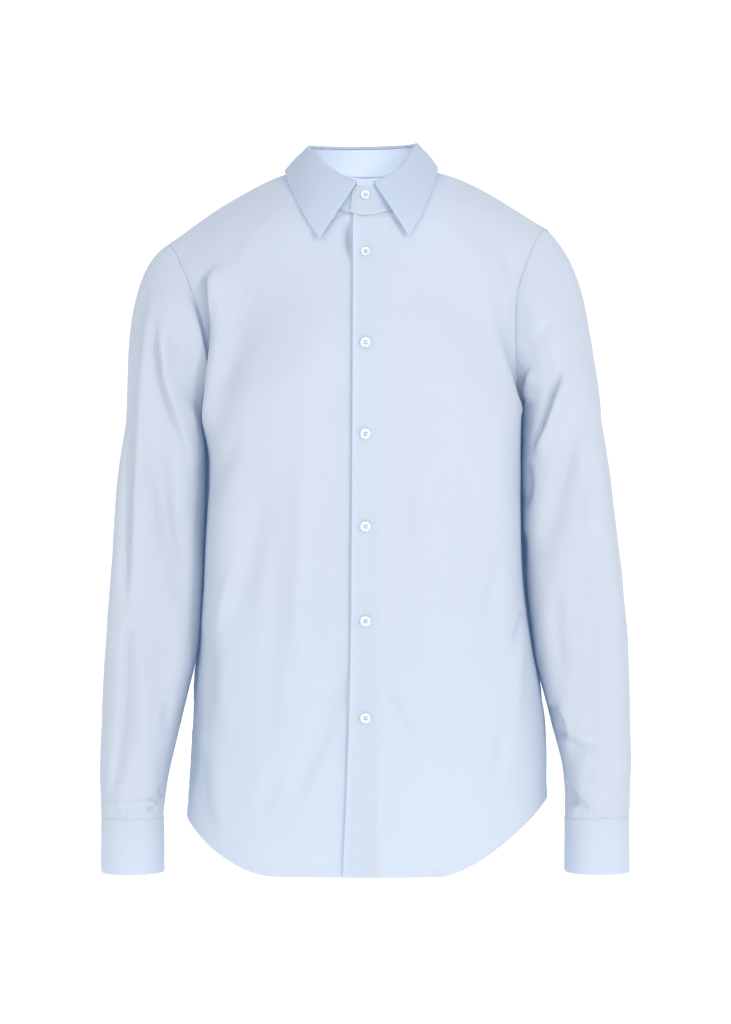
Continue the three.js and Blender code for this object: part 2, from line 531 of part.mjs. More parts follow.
// The band goes once round from under its own upper end.
function cuffSurface(side) {
  return (a, b) => {
    const turned = a * (1 + CUFF_LAP);
    const upper = smooth((turned - 1 + CUFF_LAP) / CUFF_LAP);
    const point = ringPoint(side, CUFF_END - CUFF_LAP + turned, 1, CUFF_LAP_STEP * upper + CUFF_SPREAD * b);
    const fromEnd = Math.min(a, 1 - a) * CUFF_AROUND;
    const corner = CUFF_CORNER * (1 - Math.sqrt(1 - (1 - Math.min(1, fromEnd / CUFF_CORNER)) ** 2));
    point.z -= 2 * SEAM_GAP + (CUFF_DEPTH - corner) * b;
    return mirrored(point, side);
  };
}

const PLACKET_LENGTH = 0.2; // share of the sleeve's length above the cuff
const PLACKET_HALF = 0.033; // half its width, as a share of the way round the sleeve
const PLACKET_POINT = 0.03;
const PLACKET_STEP = CLOTH + SEAM_GAP;
const PLACKET_AT = CUFF_END - 0.02;
const PLACKET_FOOT = 0.99; // it ends just above the cuff

// A strip on the sleeve, moved out from its points, pointed at the top.
function placketSurface(side) {
  return (a, b) => {
    const top = 1 - PLACKET_LENGTH + PLACKET_POINT * Math.abs(2 * a - 1);
    const [around, down] = [PLACKET_AT + (a - 0.5) * 2 * PLACKET_HALF, mix(top, PLACKET_FOOT, b)];
    return sleeve[side](around, down).addScaledVector(normalOf(sleeve[side], around, down, -side), PLACKET_STEP);
  };
}

// ---------------------------------------------------------------- collar stand and collar
const STAND_LAP = 0.092; // how far the stand goes past the centre front, as a share of the half neck
const STAND_ROUND = 11; // radius of its rounded ends
const STAND_STEP = 1.2; // how far its upper end lies outside the neck seam, and its under end inside
const STAND_FOOT = 1.4; // how far its foot stands above the neck seam
const HALF_NECK = 190; // length of the half neck
const COLLAR_LEAN = 3; // how far the top of the stand leans to the wearer's right
const STAND_LEVEL = { from: 0.1, over: 0.25 }; // where its two halves come level, from the centre front
const LEAN_OVER = 0.5; // share of the half neck over which the lean grows
const STAND_END = 0.55; // height of the stand's very end, before its corner rounds up

// w runs from the stand's upper end, across the left side and the back, to its under end.
function aroundNeck(w, from) {
  const side = w <= 0.5 ? LEFT : RIGHT;
  return { side, at: from + (1 - from) * (1 - Math.abs(w - 0.5) * 2) };
}

// The ends of the stand lie one on the other.
function lapStep(side, at) {
  return -side * STAND_STEP * (1 - rising(at, STAND_LEVEL.from, STAND_LEVEL.over));
}

function leanOf(side, at) {
  return -side * COLLAR_LEAN * rising(at, 0, LEAN_OVER);
}

function standSurface(w, h) {
  const { side, at } = aroundNeck(w, -STAND_LAP);
  const fromEnd = (at + STAND_LAP) * HALF_NECK;
  const rounded = Math.sqrt(1 - (1 - Math.min(1, fromEnd / STAND_ROUND)) ** 2);
  const point = neckSeam(at).lerp(standTop(at), h * mix(STAND_END, 1, rounded));
  point.z += STAND_FOOT * (1 - h);
  point.y += lapStep(side, at);
  point.x += leanOf(side, at) * h;
  return mirrored(point, side);
}

// The collar's outer edge, from its point round to the centre back.
const COLLAR_START = 0.055;
const COLLAR_EDGE = {
  [LEFT]: [
    { at: COLLAR_START, x: 45.5, y: -113, z: -73 },
    { at: 0.22, x: 61, y: -94, z: -46 },
    { at: 0.42, x: 74, y: -56, z: -12 },
    { at: 0.58, x: 78, y: -14, z: 7 },
    { at: 0.8, x: 64, y: 54, z: -2 },
    { at: 1.0, x: 0, y: 82, z: -10 },
    { at: 1.2, x: -64, y: 54, z: -2 },
  ],
  [RIGHT]: [
    { at: COLLAR_START, x: 48.5, y: -111, z: -76 },
    { at: 0.22, x: 67, y: -91, z: -46 },
    { at: 0.42, x: 82, y: -54, z: -14 },
    { at: 0.58, x: 87, y: -12, z: 4 },
    { at: 0.8, x: 67, y: 54, z: -3 },
    { at: 1.0, x: 0, y: 82, z: -10 },
    { at: 1.2, x: -67, y: 54, z: -3 },
  ],
};
const collarEdge = { [LEFT]: pathOf(COLLAR_EDGE[LEFT]), [RIGHT]: pathOf(COLLAR_EDGE[RIGHT]) };
// The collar's section, from the top of the stand over the roll to its edge: how far above and outside the
// stand's top each place lies, and how far of the way to the edge.
const ROLL = [
  { at: 0.0, up: 0.8, out: 0.0, down: 0.0 },
  { at: 0.14, up: 3.4, out: 1.9, down: 0.0 },
  { at: 0.28, up: 1.8, out: 4.6, down: 0.05 },
  { at: 0.62, up: 0.5, out: 4.2, down: 0.5 },
  { at: 1.0, up: 0.0, out: 0.0, down: 1.0 },
];
const roll = { up: column(ROLL, "up"), out: column(ROLL, "out"), down: column(ROLL, "down") };

function collarSurface(w, h) {
  const { side, at } = aroundNeck(w, COLLAR_START);
  const nudge = 0.02;
  const along = standTop(at + nudge).sub(standTop(at - nudge));
  const away = vec(along.y, -along.x, 0).normalize();
  const point = standTop(at).lerp(collarEdge[side](at), roll.down(h));
  point.addScaledVector(away, roll.out(h));
  point.z += roll.up(h) + SEAM_GAP;
  point.y += lapStep(side, at) * (1 - roll.down(h));
  point.x += leanOf(side, at) * (1 - roll.down(h));
  return mirrored(point, side);
}

// ---------------------------------------------------------------- buttons
const BUTTON = { radius: 5.7, thick: 2.4, rim: 1.2, hollow: 0.7, holeRadius: 0.85, holeRing: 1.65, sides: 20 };
const SMALL_BUTTON = { ...BUTTON, radius: 4.9, holeRadius: 0.75, holeRing: 1.4 };
const FRONT_BUTTON_HEIGHTS = [-90, -185, -281, -378, -477, -578];
const STAND_BUTTON_AT = 0.65; // share of the stand's height
const CUFF_BUTTON_AT = 0.955; // share of the way round the cuff
const CUFF_BUTTON_DOWN = 0.5;

// A closed mesh as a manifold-3d solid.
function solidOf(geometry) {
  const vertProperties = new Float32Array(geometry.getAttribute("position").array);
  return new wasm.Manifold(
    new wasm.Mesh({ numProp: 3, vertProperties, triVerts: new Uint32Array(geometry.index.array) }),
  );
}

// A disc with a raised rim round a shallow hollow, and four thread holes. Its back lies on z = 0.
function buttonGeometry({ radius, thick, rim, hollow, holeRadius, holeRing, sides }) {
  const profile = [
    [0, 0],
    [radius * 0.8, 0],
    [radius, thick * 0.45],
    [radius * 0.93, thick],
    [radius - rim, thick],
    [radius - rim * 1.7, thick - hollow],
    [0, thick - hollow],
  ];
  const disc = new THREE.LatheGeometry(profile.map(([r, z]) => new THREE.Vector2(r, z)), sides);
  disc.rotateX(Math.PI / 2);
  let solid = solidOf(closedOf(disc));
  for (let k = 0; k < 4; k += 1) {
    const angle = Math.PI / 4 + (k * Math.PI) / 2;
    const drill = new THREE.CylinderGeometry(holeRadius, holeRadius, thick * 3, 6);
    drill.rotateX(Math.PI / 2);
    drill.translate(holeRing * Math.cos(angle), holeRing * Math.sin(angle), 0);
    solid = solid.subtract(solidOf(closedOf(drill)));
  }
  const { vertProperties, triVerts } = solid.getMesh();
  const drilled = new THREE.BufferGeometry();
  drilled.setAttribute("position", new THREE.BufferAttribute(new Float32Array(vertProperties), 3));
  drilled.setIndex([...triVerts]);
  return drilled;
}

// The same mesh with its shared corners merged, so that it is closed.
function closedOf(geometry) {
  geometry.deleteAttribute("normal");
  geometry.deleteAttribute("uv");
  return mergeVertices(geometry, 1e-4);
}

// ---------------------------------------------------------------- the shirt
const POPLIN = new THREE.MeshStandardMaterial({ color: 0xb4cbe4, roughness: 0.8, metalness: 0 });
const BUTTON_RESIN = new THREE.MeshStandardMaterial({ color: 0xf4f6f8, roughness: 0.3, metalness: 0 });
const shirt = new THREE.Group();

function addPiece(name, geometry, material) {
  geometry.computeVertexNormals();
  const mesh = new THREE.Mesh(geometry, material.clone());
  mesh.name = name;
  shirt.add(mesh);
  return mesh;
}

const addCloth = (name, surface, places) => addPiece(name, clothWall(surface, places), POPLIN);
const whole = (count) => [...steps(0, 1, count), 1];
const frontPlaces = { across: whole(FRONT_COLUMNS), along: whole(25), wall: CLOTH };
const cuffPlaces = { across: whole(28), along: whole(4), wall: FUSED };
const standPlaces = { across: whole(40), along: whole(3), wall: FUSED };
const acrossBack = whole(2 * (FRONT_COLUMNS + NECK_COLUMNS));
addCloth("front_left", leftFront, frontPlaces);
addCloth("front_right", rightFront, frontPlaces);
addCloth("back", backSurface, { across: acrossBack, along: whole(22), wall: CLOTH });
addCloth("yoke", yokeSurface, { across: acrossBack, along: whole(6), wall: CLOTH });

// A sleeve's columns start where the rows of the fronts, yoke and back end on the armhole.
const aroundSleeve = [
  ...steps(0, AT_FRONT_SEAM, 9),
  ...steps(AT_FRONT_SEAM, AT_BACK_SEAM, 6),
  ...steps(AT_BACK_SEAM, 1, 6),
];
const sides = { left: LEFT, right: RIGHT };
Object.entries(sides).forEach(([word, side]) => {
  addCloth(`sleeve_${word}`, sleeve[side], { across: aroundSleeve, along: whole(22), wall: CLOTH, tube: true });
  addCloth(`sleeve_placket_${word}`, placketSurface(side), { across: whole(4), along: whole(6), wall: CLOTH });
  addCloth(`cuff_${word}`, cuffSurface(side), cuffPlaces);
});
addCloth("collar_stand", standSurface, standPlaces);
addCloth("collar", collarSurface, { across: whole(40), along: whole(7), wall: FUSED });

// The surface between the places of its wall, where the wall is flat.
function facetsOf(surface, { across, along }) {
  const cell = (places, value) => {
    let i = 0;
    while (i < places.length - 2 && value > places[i + 1]) i += 1;
    return [places[i], places[i + 1], (value - places[i]) / (places[i + 1] - places[i])];
  };
  return (a, b) => {
    const [a0, a1, over] = cell(across, a);
    const [b0, b1, up] = cell(along, b);
    const low = surface(a0, b0).lerp(surface(a1, b0), over);
    return low.lerp(surface(a0, b1).lerp(surface(a1, b1), over), up);
  };
}

// A button on a piece: its back lies a seam gap off the cloth, and it faces along the piece's normal.
function addButton(name, size, facets, [a, b], side, wall) {
  const mesh = addPiece(name, buttonGeometry(size), BUTTON_RESIN);
  const normal = normalOf(facets, a, b, side);
  mesh.position.copy(facets(a, b).addScaledVector(normal, wall / 2 + SEAM_GAP));
  mesh.quaternion.setFromUnitVectors(vec(0, 0, 1), normal);
}

// Where a function that grows with its argument, from 0 to 1, reaches a value.
function shareAt(value, grows) {
  let [low, high] = [0, 1];
  for (let k = 0; k < 40; k += 1) {
    const middle = (low + high) / 2;
    if (grows(middle) < value) low = middle;
    else high = middle;
  }
  return low;
}

const nearEnd = 0.2; // the centre front lies within this share of the stand from its upper end
const standFacets = facetsOf(standSurface, standPlaces);
const standCentre = shareAt(0, (w) => standFacets(w * nearEnd, STAND_BUTTON_AT).x) * nearEnd;
addButton("button_collar", SMALL_BUTTON, standFacets, [standCentre, STAND_BUTTON_AT], LEFT, FUSED);
const frontFacets = facetsOf(leftFront, frontPlaces);
FRONT_BUTTON_HEIGHTS.forEach((height, k) => {
  const b = shareAt(height, (share) => bodyRow.frontZ(share * AT_NECK)) * AT_NECK;
  const a = shareAt(0, (share) => frontFacets(share, b).x);
  addButton(`button_${k + 1}`, k === 0 ? SMALL_BUTTON : BUTTON, frontFacets, [a, b], LEFT, CLOTH);
});
Object.entries(sides).forEach(([word, side]) => {
  const place = [CUFF_BUTTON_AT, CUFF_BUTTON_DOWN];
  addButton(`button_cuff_${word}`, BUTTON, facetsOf(cuffSurface(side), cuffPlaces), place, -side, FUSED);
});

export default shirt;
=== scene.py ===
import math

import bpy
import numpy as np
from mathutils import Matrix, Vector


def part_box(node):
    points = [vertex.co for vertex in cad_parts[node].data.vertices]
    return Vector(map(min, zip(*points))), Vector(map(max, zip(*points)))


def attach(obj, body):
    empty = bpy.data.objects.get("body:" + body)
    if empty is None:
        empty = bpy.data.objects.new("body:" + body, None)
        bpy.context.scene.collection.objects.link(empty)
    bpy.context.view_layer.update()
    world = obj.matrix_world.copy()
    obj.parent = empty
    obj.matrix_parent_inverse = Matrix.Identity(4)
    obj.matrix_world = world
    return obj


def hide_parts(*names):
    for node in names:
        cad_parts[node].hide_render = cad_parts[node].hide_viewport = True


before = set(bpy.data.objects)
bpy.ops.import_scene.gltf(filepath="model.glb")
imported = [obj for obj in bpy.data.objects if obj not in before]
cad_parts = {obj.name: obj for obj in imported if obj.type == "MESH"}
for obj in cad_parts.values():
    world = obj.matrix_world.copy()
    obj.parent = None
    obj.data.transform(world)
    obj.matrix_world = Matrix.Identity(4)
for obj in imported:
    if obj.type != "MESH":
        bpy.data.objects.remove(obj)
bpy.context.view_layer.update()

# ---------------------------------------------------------------- room, light and camera
# The shirt hangs in the air as it does on its wearer, over a plain white floor in a white room. A soft key
# light stands ahead of it and to its left, two broad weaker ones fill in from ahead, and a faint one lights
# the open neck. The room itself lights the rest.
FLOOR_Z = -1.45
FLOOR_HALF = 40.0
FLOOR_GLOW = 0.35
CAMERA_DISTANCE = 3.5
CAMERA_HEIGHT = -0.3629
CAMERA_LENS = 113.93
ROOM_STRENGTH = 0.86
ROOM_RISE = (0.04, 0.28, 0.2)  # how much brighter the room is to the shirt's left, behind it and above
WHITE = (1, 1, 1, 1)
FLOOR_COLOUR = (0.8, 0.8, 0.8, 1)
FLOOR_GRAIN = 3.0
FLOOR_ROUGH, FLOOR_ROUGH_GRAIN = 0.8, 0.1
AHEAD = (0, 0, CAMERA_HEIGHT)
LIGHTS = (
    # name, place, what it points at, size, watts, and how wide it spreads, in degrees
    ("key", (1.9, -2.9, 0.9), AHEAD, 0.5, 36, 180),
    ("fill", (-0.5, -3.5, 0.1), AHEAD, 2.0, 18, 180),
    ("side", (-1.8, -2.9, -0.3), AHEAD, 1.2, 8, 180),
    ("neck", (-0.01, -0.045, -0.13), (0.0, 0.055, 0.035), 0.04, 0.05, 70),
)

view_settings = bpy.context.scene.view_settings
view_settings.view_transform = "Standard"
view_settings.look = "None"


def new_object(name, data):
    made = bpy.data.objects.new(name, data)
    bpy.context.scene.collection.objects.link(made)
    return made


camera = new_object("camera", bpy.data.cameras.new("camera"))
camera.data.lens = CAMERA_LENS
camera.location = (0, -CAMERA_DISTANCE, CAMERA_HEIGHT)
camera.rotation_euler = (math.pi / 2, 0, 0)
bpy.context.scene.camera = camera

for name, place, target, size, watts, spread in LIGHTS:
    light_data = bpy.data.lights.new(name, "AREA")
    light_data.shape = "DISK"
    light_data.size = size
    light_data.energy = watts
    light_data.spread = math.radians(spread)
    light = new_object(name, light_data)
    light.location = place
    light.rotation_euler = (Vector(target) - Vector(place)).to_track_quat("-Z", "Y").to_euler()
    light.visible_camera = False


class Socket:
    """A node's output that + and * work on. Each of them adds a Math node."""

    def __init__(self, tree, socket):
        self.tree, self.socket = tree, socket

    def math(self, operation, other):
        return make_node(self.tree, "ShaderNodeMath", {"operation": operation}, {0: self, 1: other})[0]

    def __add__(self, other):
        return self.math("ADD", other)

    def __mul__(self, other):
        return self.math("MULTIPLY", other)

    def into(self, node, name):
        self.tree.links.new(self.socket, node.inputs[name])


def make_node(tree, kind, settings=None, values=None):
    """A node with its settings, then the values or links of its sockets. Returns its outputs by number."""
    node = tree.nodes.new(kind)
    for name, setting in (settings or {}).items():
        if name == "stops":
            while len(node.color_ramp.elements) < len(setting):
                node.color_ramp.elements.new(0.5)
            for element, (place, colour) in zip(node.color_ramp.elements, setting):
                element.position, element.color = place, (*colour, 1)
        else:
            setattr(node, name, setting)
    for name, value in (values or {}).items():
        if isinstance(value, Socket):
            tree.links.new(value.socket, node.inputs[name])
        else:
            node.inputs[name].default_value = value
    return [Socket(tree, output) for output in node.outputs]


def noise(tree, place, scale, detail=2.0):
    return make_node(tree, "ShaderNodeTexNoise", {}, {"Vector": place, "Scale": scale, "Detail": detail})[0]


def ramp(tree, shade, stops):
    """Colours by a shade: stops are its places from 0 to 1, each with its colour."""
    return make_node(tree, "ShaderNodeValToRGB", {"stops": stops}, {"Fac": shade})[0]


def object_place(tree):
    return make_node(tree, "ShaderNodeTexCoord")[3]


def new_material(name):
    material = bpy.data.materials.new(name)
    material.use_nodes = True
    return material, material.node_tree, material.node_tree.nodes["Principled BSDF"]


room = bpy.data.worlds.new("room")
room.use_nodes = True
towards = make_node(room.node_tree, "ShaderNodeTexCoord")[0]
parts = make_node(room.node_tree, "ShaderNodeSeparateXYZ", {}, {"Vector": towards})
to_left, behind, above = (part * rise for part, rise in zip(parts, ROOM_RISE))
brightness = to_left + behind + above + ROOM_STRENGTH
background = room.node_tree.nodes["Background"]
background.inputs["Color"].default_value = WHITE
brightness.into(background, "Strength")
bpy.context.scene.world = room

floor_material, tree, shader = new_material("floor_white")
floor_rough = noise(tree, object_place(tree), FLOOR_GRAIN) * FLOOR_ROUGH_GRAIN + FLOOR_ROUGH
floor_rough.into(shader, "Roughness")
shader.inputs["Base Color"].default_value = FLOOR_COLOUR
shader.inputs["Emission Color"].default_value = WHITE
shader.inputs["Emission Strength"].default_value = FLOOR_GLOW
floor_mesh = bpy.data.meshes.new("floor")
floor_corners = [(x * FLOOR_HALF, y * FLOOR_HALF, FLOOR_Z) for x, y in ((-1, -1), (1, -1), (1, 1), (-1, 1))]
floor_mesh.from_pydata(floor_corners, [], [(0, 1, 2, 3)])
floor_mesh.materials.append(floor_material)
floor = new_object("floor", floor_mesh)

# ---------------------------------------------------------------- fronts
# The two fronts are single poplin, cut with a curved tail. Each front edge is folded back and pressed into a
# plain placket, and the wearer's left one closes over the right one. Sizes here are in millimetres.
LEFT, RIGHT = 1, -1
FABRIC = 0.5  # thickness of one ply
POPLIN_COLOUR = (0.725, 0.742, 0.768)
POPLIN_LIGHT = (0.755, 0.772, 0.798)
PAINTED_BACKED_COLOUR = (0.722, 0.764, 0.812)  # painted light: the bluer tone where further plies behind stop the light through the outer one
PAINTED_BACKED_LIGHT = (0.752, 0.794, 0.842)
THROUGH_COLOUR = (0.58, 0.77, 0.96)
THROUGH = 0.4  # share of the light that goes on through a wall of cloth
YARN = 0.00026  # metres from one yarn to the next


def smooth(t):
    t = np.clip(t, 0, 1)
    return t * t * (3 - 2 * t)


def rising(value, start, over):
    """From 0 up to 1 as a value goes from start to start + over."""
    return smooth((value - start) / over)


def falling(value, start, over):
    return 1 - rising(value, start, over)


def mix(a, b, t):
    return a + (b - a) * t


def table(names, *rows):
    """A short table: its named columns as arrays."""
    return dict(zip(names.split(), np.array(rows, float).T))


def column(rows, name, looped=False):
    """A smooth function of "at" through one column. At a peak or a dip its slope is level."""
    at, knot = rows["at"], rows[name]
    if looped:
        at = np.concatenate([[at[-1] - 1], at, [at[0] + 1, at[1] + 1]])
        knot = np.concatenate([[knot[-1]], knot, knot[:2]])
    last = len(at) - 1
    slope = np.zeros(last + 1)
    for i in range(last + 1):
        low, high = max(0, i - 1), min(last, i + 1)
        turns = (knot[i] - knot[low]) * (knot[high] - knot[i]) <= 0
        if not (0 < i < last and turns):
            slope[i] = (knot[high] - knot[low]) / (at[high] - at[low])

    def value(place):
        place = np.asarray(place, float)
        place = place - np.floor(place) if looped else place
        i = np.clip(np.searchsorted(at, place, side="left") - 1, 0, last - 1)
        span = at[i + 1] - at[i]
        t = np.clip((place - at[i]) / span, 0, 1)
        curve = mix(knot[i], knot[i + 1], t * t * (3 - 2 * t))
        return curve + t * (1 - t) ** 2 * span * slope[i] + t * t * (t - 1) * span * slope[i + 1]

    return value


def path_of(rows, looped=False, names=("x", "y", "z")):
    columns = [column(rows, name, looped) for name in names]
    return lambda at: np.stack([value(at) for value in columns], -1)


FOLD_ENDS = 0.35  # what is left of a fold's height at its two ends


def ridge_height(folds, a, b, across, along):
    """The panel's large folds, from one place to another, in shares of its width and length."""
    total = 0
    for a0, b0, a1, b1, width, height in folds:
        px, py = (a - a0) * across, (b - b0) * along
        dx, dy = (a1 - a0) * across, (b1 - b0) * along
        near = np.clip((px * dx + py * dy) / (dx * dx + dy * dy), 0, 1)
        off = np.hypot(px - dx * near, py - dy * near) / width
        total = total + height * (FOLD_ENDS + (1 - FOLD_ENDS) * np.sin(np.pi * near)) * np.exp(-off * off)
    return total


CREASE_NARROW, CREASE_TALL = 0.75, 1.35  # how the creases below are drawn: narrower and taller than listed


def crease_height(points, creases):
    """Creases drawn on the panel as it is seen from in front or behind: each runs through (x, z) places and
    has a width on its left and on its right hand, a height, and the shares of its length over which its ends
    fade."""
    total = np.zeros(points.shape[:-1])
    flat = points[..., [0, 2]]
    for line, width_left, width_right, height, fade_in, fade_out in creases:
        line = np.array(line, float)
        legs = np.hypot(*(line[1:] - line[:-1]).T)
        ends = np.concatenate([[0], np.cumsum(legs)]) / legs.sum()
        best = np.full(total.shape, 1e9)
        place, signed = np.zeros(total.shape), np.zeros(total.shape)
        for k, (start, end) in enumerate(zip(line[:-1], line[1:])):
            leg = end - start
            near = np.clip(((flat - start) @ leg) / (leg @ leg), 0, 1)
            away = flat - start - near[..., None] * leg
            off = np.hypot(away[..., 0], away[..., 1])
            hand = np.sign(leg[0] * away[..., 1] - leg[1] * away[..., 0])
            closer = off < best
            best = np.where(closer, off, best)
            signed = np.where(closer, hand, signed)
            place = np.where(closer, mix(ends[k], ends[k + 1], near), place)
        width = np.where(signed > 0, width_left, width_right) * CREASE_NARROW
        strength = smooth(place / fade_in) * smooth((1 - place) / fade_out)
        total += CREASE_TALL * height * strength * np.exp(-((best / width) ** 2))
    return total


WAVES_OF_A_SIZE, WAVE_RANGE = 4, (0.8, 1.25)


def waves(seed, a_mm, b_mm, sizes, height):
    """Faint unevenness of the pressed cloth: a few slow waves in fixed random directions."""
    draw = np.random.default_rng(seed)
    total = 0
    for size in sizes:
        for _ in range(WAVES_OF_A_SIZE):
            turn, phase = draw.uniform(0, 2 * np.pi, 2)
            run = (a_mm * np.cos(turn) + b_mm * np.sin(turn)) * 2 * np.pi / (size * draw.uniform(*WAVE_RANGE))
            total = total + np.sin(run + phase) * size / sizes[0]
    return total * height / (WAVES_OF_A_SIZE * len(sizes))


def places(length, step=3.2, fine=(0.5, 1.0, 2.2, 4.0, 5.6, 6.4, 7.2, 9.5), creased=(0, 0, 1)):
    """Shares of a length at which a panel has its rows: close together at both edges, where it is sewn, and
    from one place to another, as creased says with a step of its own."""
    low, high, close = creased
    inner = [fine[-1]]
    while inner[-1] < length - fine[-1]:
        inner.append(inner[-1] + (close if low <= inner[-1] < high else step))
    inner = fine[-1] + (np.array(inner) - fine[-1]) * (length - 2 * fine[-1]) / (inner[-1] - fine[-1])
    edge = np.array((0.0,) + fine[:-1])
    return np.concatenate([edge, inner, length - edge[::-1]]) / length


def grid_normals(points, looped):
    """Unit normals of a grid of points, along the direction across x along."""
    if looped:
        ring = np.concatenate([points[:, -1:], points, points[:, :1]], 1)
        da = ring[:, 2:] - ring[:, :-2]
    else:
        da = np.gradient(points, axis=1)
    db = np.gradient(points, axis=0)
    normal = np.cross(da, db)
    return normal / np.maximum(np.linalg.norm(normal, axis=-1, keepdims=True), 1e-9)


def lengths(points, axis):
    """Arc length along one axis of a grid, from its first row or column."""
    steps = np.linalg.norm(np.diff(points, axis=axis), axis=-1)
    pad = [(0, 0), (0, 0)]
    pad[axis] = (1, 0)
    return np.cumsum(np.pad(steps, pad), axis=axis)


def shade_smooth(mesh):
    mesh.polygons.foreach_set("use_smooth", np.ones(len(mesh.polygons), bool))


class Panel:
    """A panel of cloth as a grid: form(a, b) gives its points, and outward is 1 or -1, the side of the grid's
    own normal that faces out of the shirt."""

    def __init__(self, form, a, b, outward, looped=False):
        self.a, self.b, self.outward, self.looped = a, b, outward, looped
        self.A, self.B = np.meshgrid(a, b)
        self.points = form(self.A, self.B)
        self.u, self.v = lengths(self.points, 1), lengths(self.points, 0)
        self.normals = grid_normals(self.points, looped) * outward

    def raise_by(self, height):
        self.points = self.points + self.normals * np.asarray(height)[..., None]
        self.normals = grid_normals(self.points, self.looped) * self.outward

    def at(self, a, b, lift=0.0):
        """Places on the panel, lifted off its outer face."""
        a, b = np.broadcast_arrays(np.asarray(a, float), np.asarray(b, float))
        columns, rows = len(self.a), len(self.b)
        a = a - np.floor(a) if self.looped else np.clip(a, 0, 1)
        across = np.concatenate([self.a, [1.0]]) if self.looped else self.a
        i = np.clip(np.searchsorted(across, a, side="right") - 1, 0, len(across) - 2)
        j = np.clip(np.searchsorted(self.b, b, side="right") - 1, 0, rows - 2)
        s = ((a - across[i]) / (across[i + 1] - across[i]))[..., None]
        t = ((b - self.b[j]) / (self.b[j + 1] - self.b[j]))[..., None]
        k = (i + 1) % columns if self.looped else i + 1

        def between(field):
            return mix(mix(field[j, i], field[j, k], s), mix(field[j + 1, i], field[j + 1, k], s), t)

        normal = between(self.normals)
        return between(self.points) + normal * (np.asarray(lift)[..., None] + FABRIC / 2)

    def build(self, name, material, plies=1.0):
        """The panel as a closed shell. plies is its thickness in plies, a number or one for each point."""
        rows, columns = self.A.shape
        layer = rows * columns
        half = FABRIC / 2
        depth = np.broadcast_to(np.asarray(plies, float) * FABRIC - half, self.A.shape)
        outer = self.points + self.normals * half
        inner = self.points - self.normals * depth[..., None]
        first, second = (outer, inner) if self.outward > 0 else (inner, outer)
        index = np.arange(layer).reshape(rows, columns)
        if self.looped:
            index = np.concatenate([index, index[:, :1]], 1)
        p, q = index[:-1, :-1].ravel(), index[:-1, 1:].ravel()
        r, s = index[1:, 1:].ravel(), index[1:, :-1].ravel()
        faces = [np.stack([p, q, r, s], 1), np.stack([p, s, r, q], 1) + layer]

        def rim(line):
            return np.stack([line[1:], line[:-1], line[:-1] + layer, line[1:] + layer], 1)

        faces += [rim(index[0]), rim(index[-1][::-1])]
        if not self.looped:
            faces += [rim(index[:, 0][::-1]), rim(index[:, -1])]
        faces = np.concatenate(faces)
        mesh = bpy.data.meshes.new(name)
        corners = np.concatenate([first.reshape(-1, 3), second.reshape(-1, 3)]) / 1000
        mesh.from_pydata(corners.tolist(), [], faces.tolist())
        u = self.u if self.looped else self.u - self.u[:, columns // 2][:, None]
        spread = np.stack([np.tile(u.ravel(), 2), np.tile(self.v.ravel(), 2)], 1) / 1000
        layer_uv = mesh.uv_layers.new(name="cut")
        loops = np.empty(len(mesh.loops), int)
        mesh.loops.foreach_get("vertex_index", loops)
        layer_uv.data.foreach_set("uv", spread[loops].astype(np.float32).ravel())
        shade_smooth(mesh)
        mesh.materials.append(material)
        return new_object(name, mesh)


WARP_STRETCH, WEFT_STRETCH, WEFT_SEED = (1500, 60, 1), (50, 1300, 1), 7.0
CLOUD_SCALE, PRESSED_SCALE = 16.0, 38.0
SHADE_BY_YARN, SHADE_BY_CLOUD, SHADE_BY_FOLD = 0.42, 0.18, 0.5
SHADES = (0.18, 0.42, 0.68, 0.92)
CLOTH_ROUGH, CLOTH_ROUGH_YARN = 0.66, 0.12
YARN_BUMP, YARN_DEEP, PRESSED_BUMP = 0.12, 0.00008, 0.25


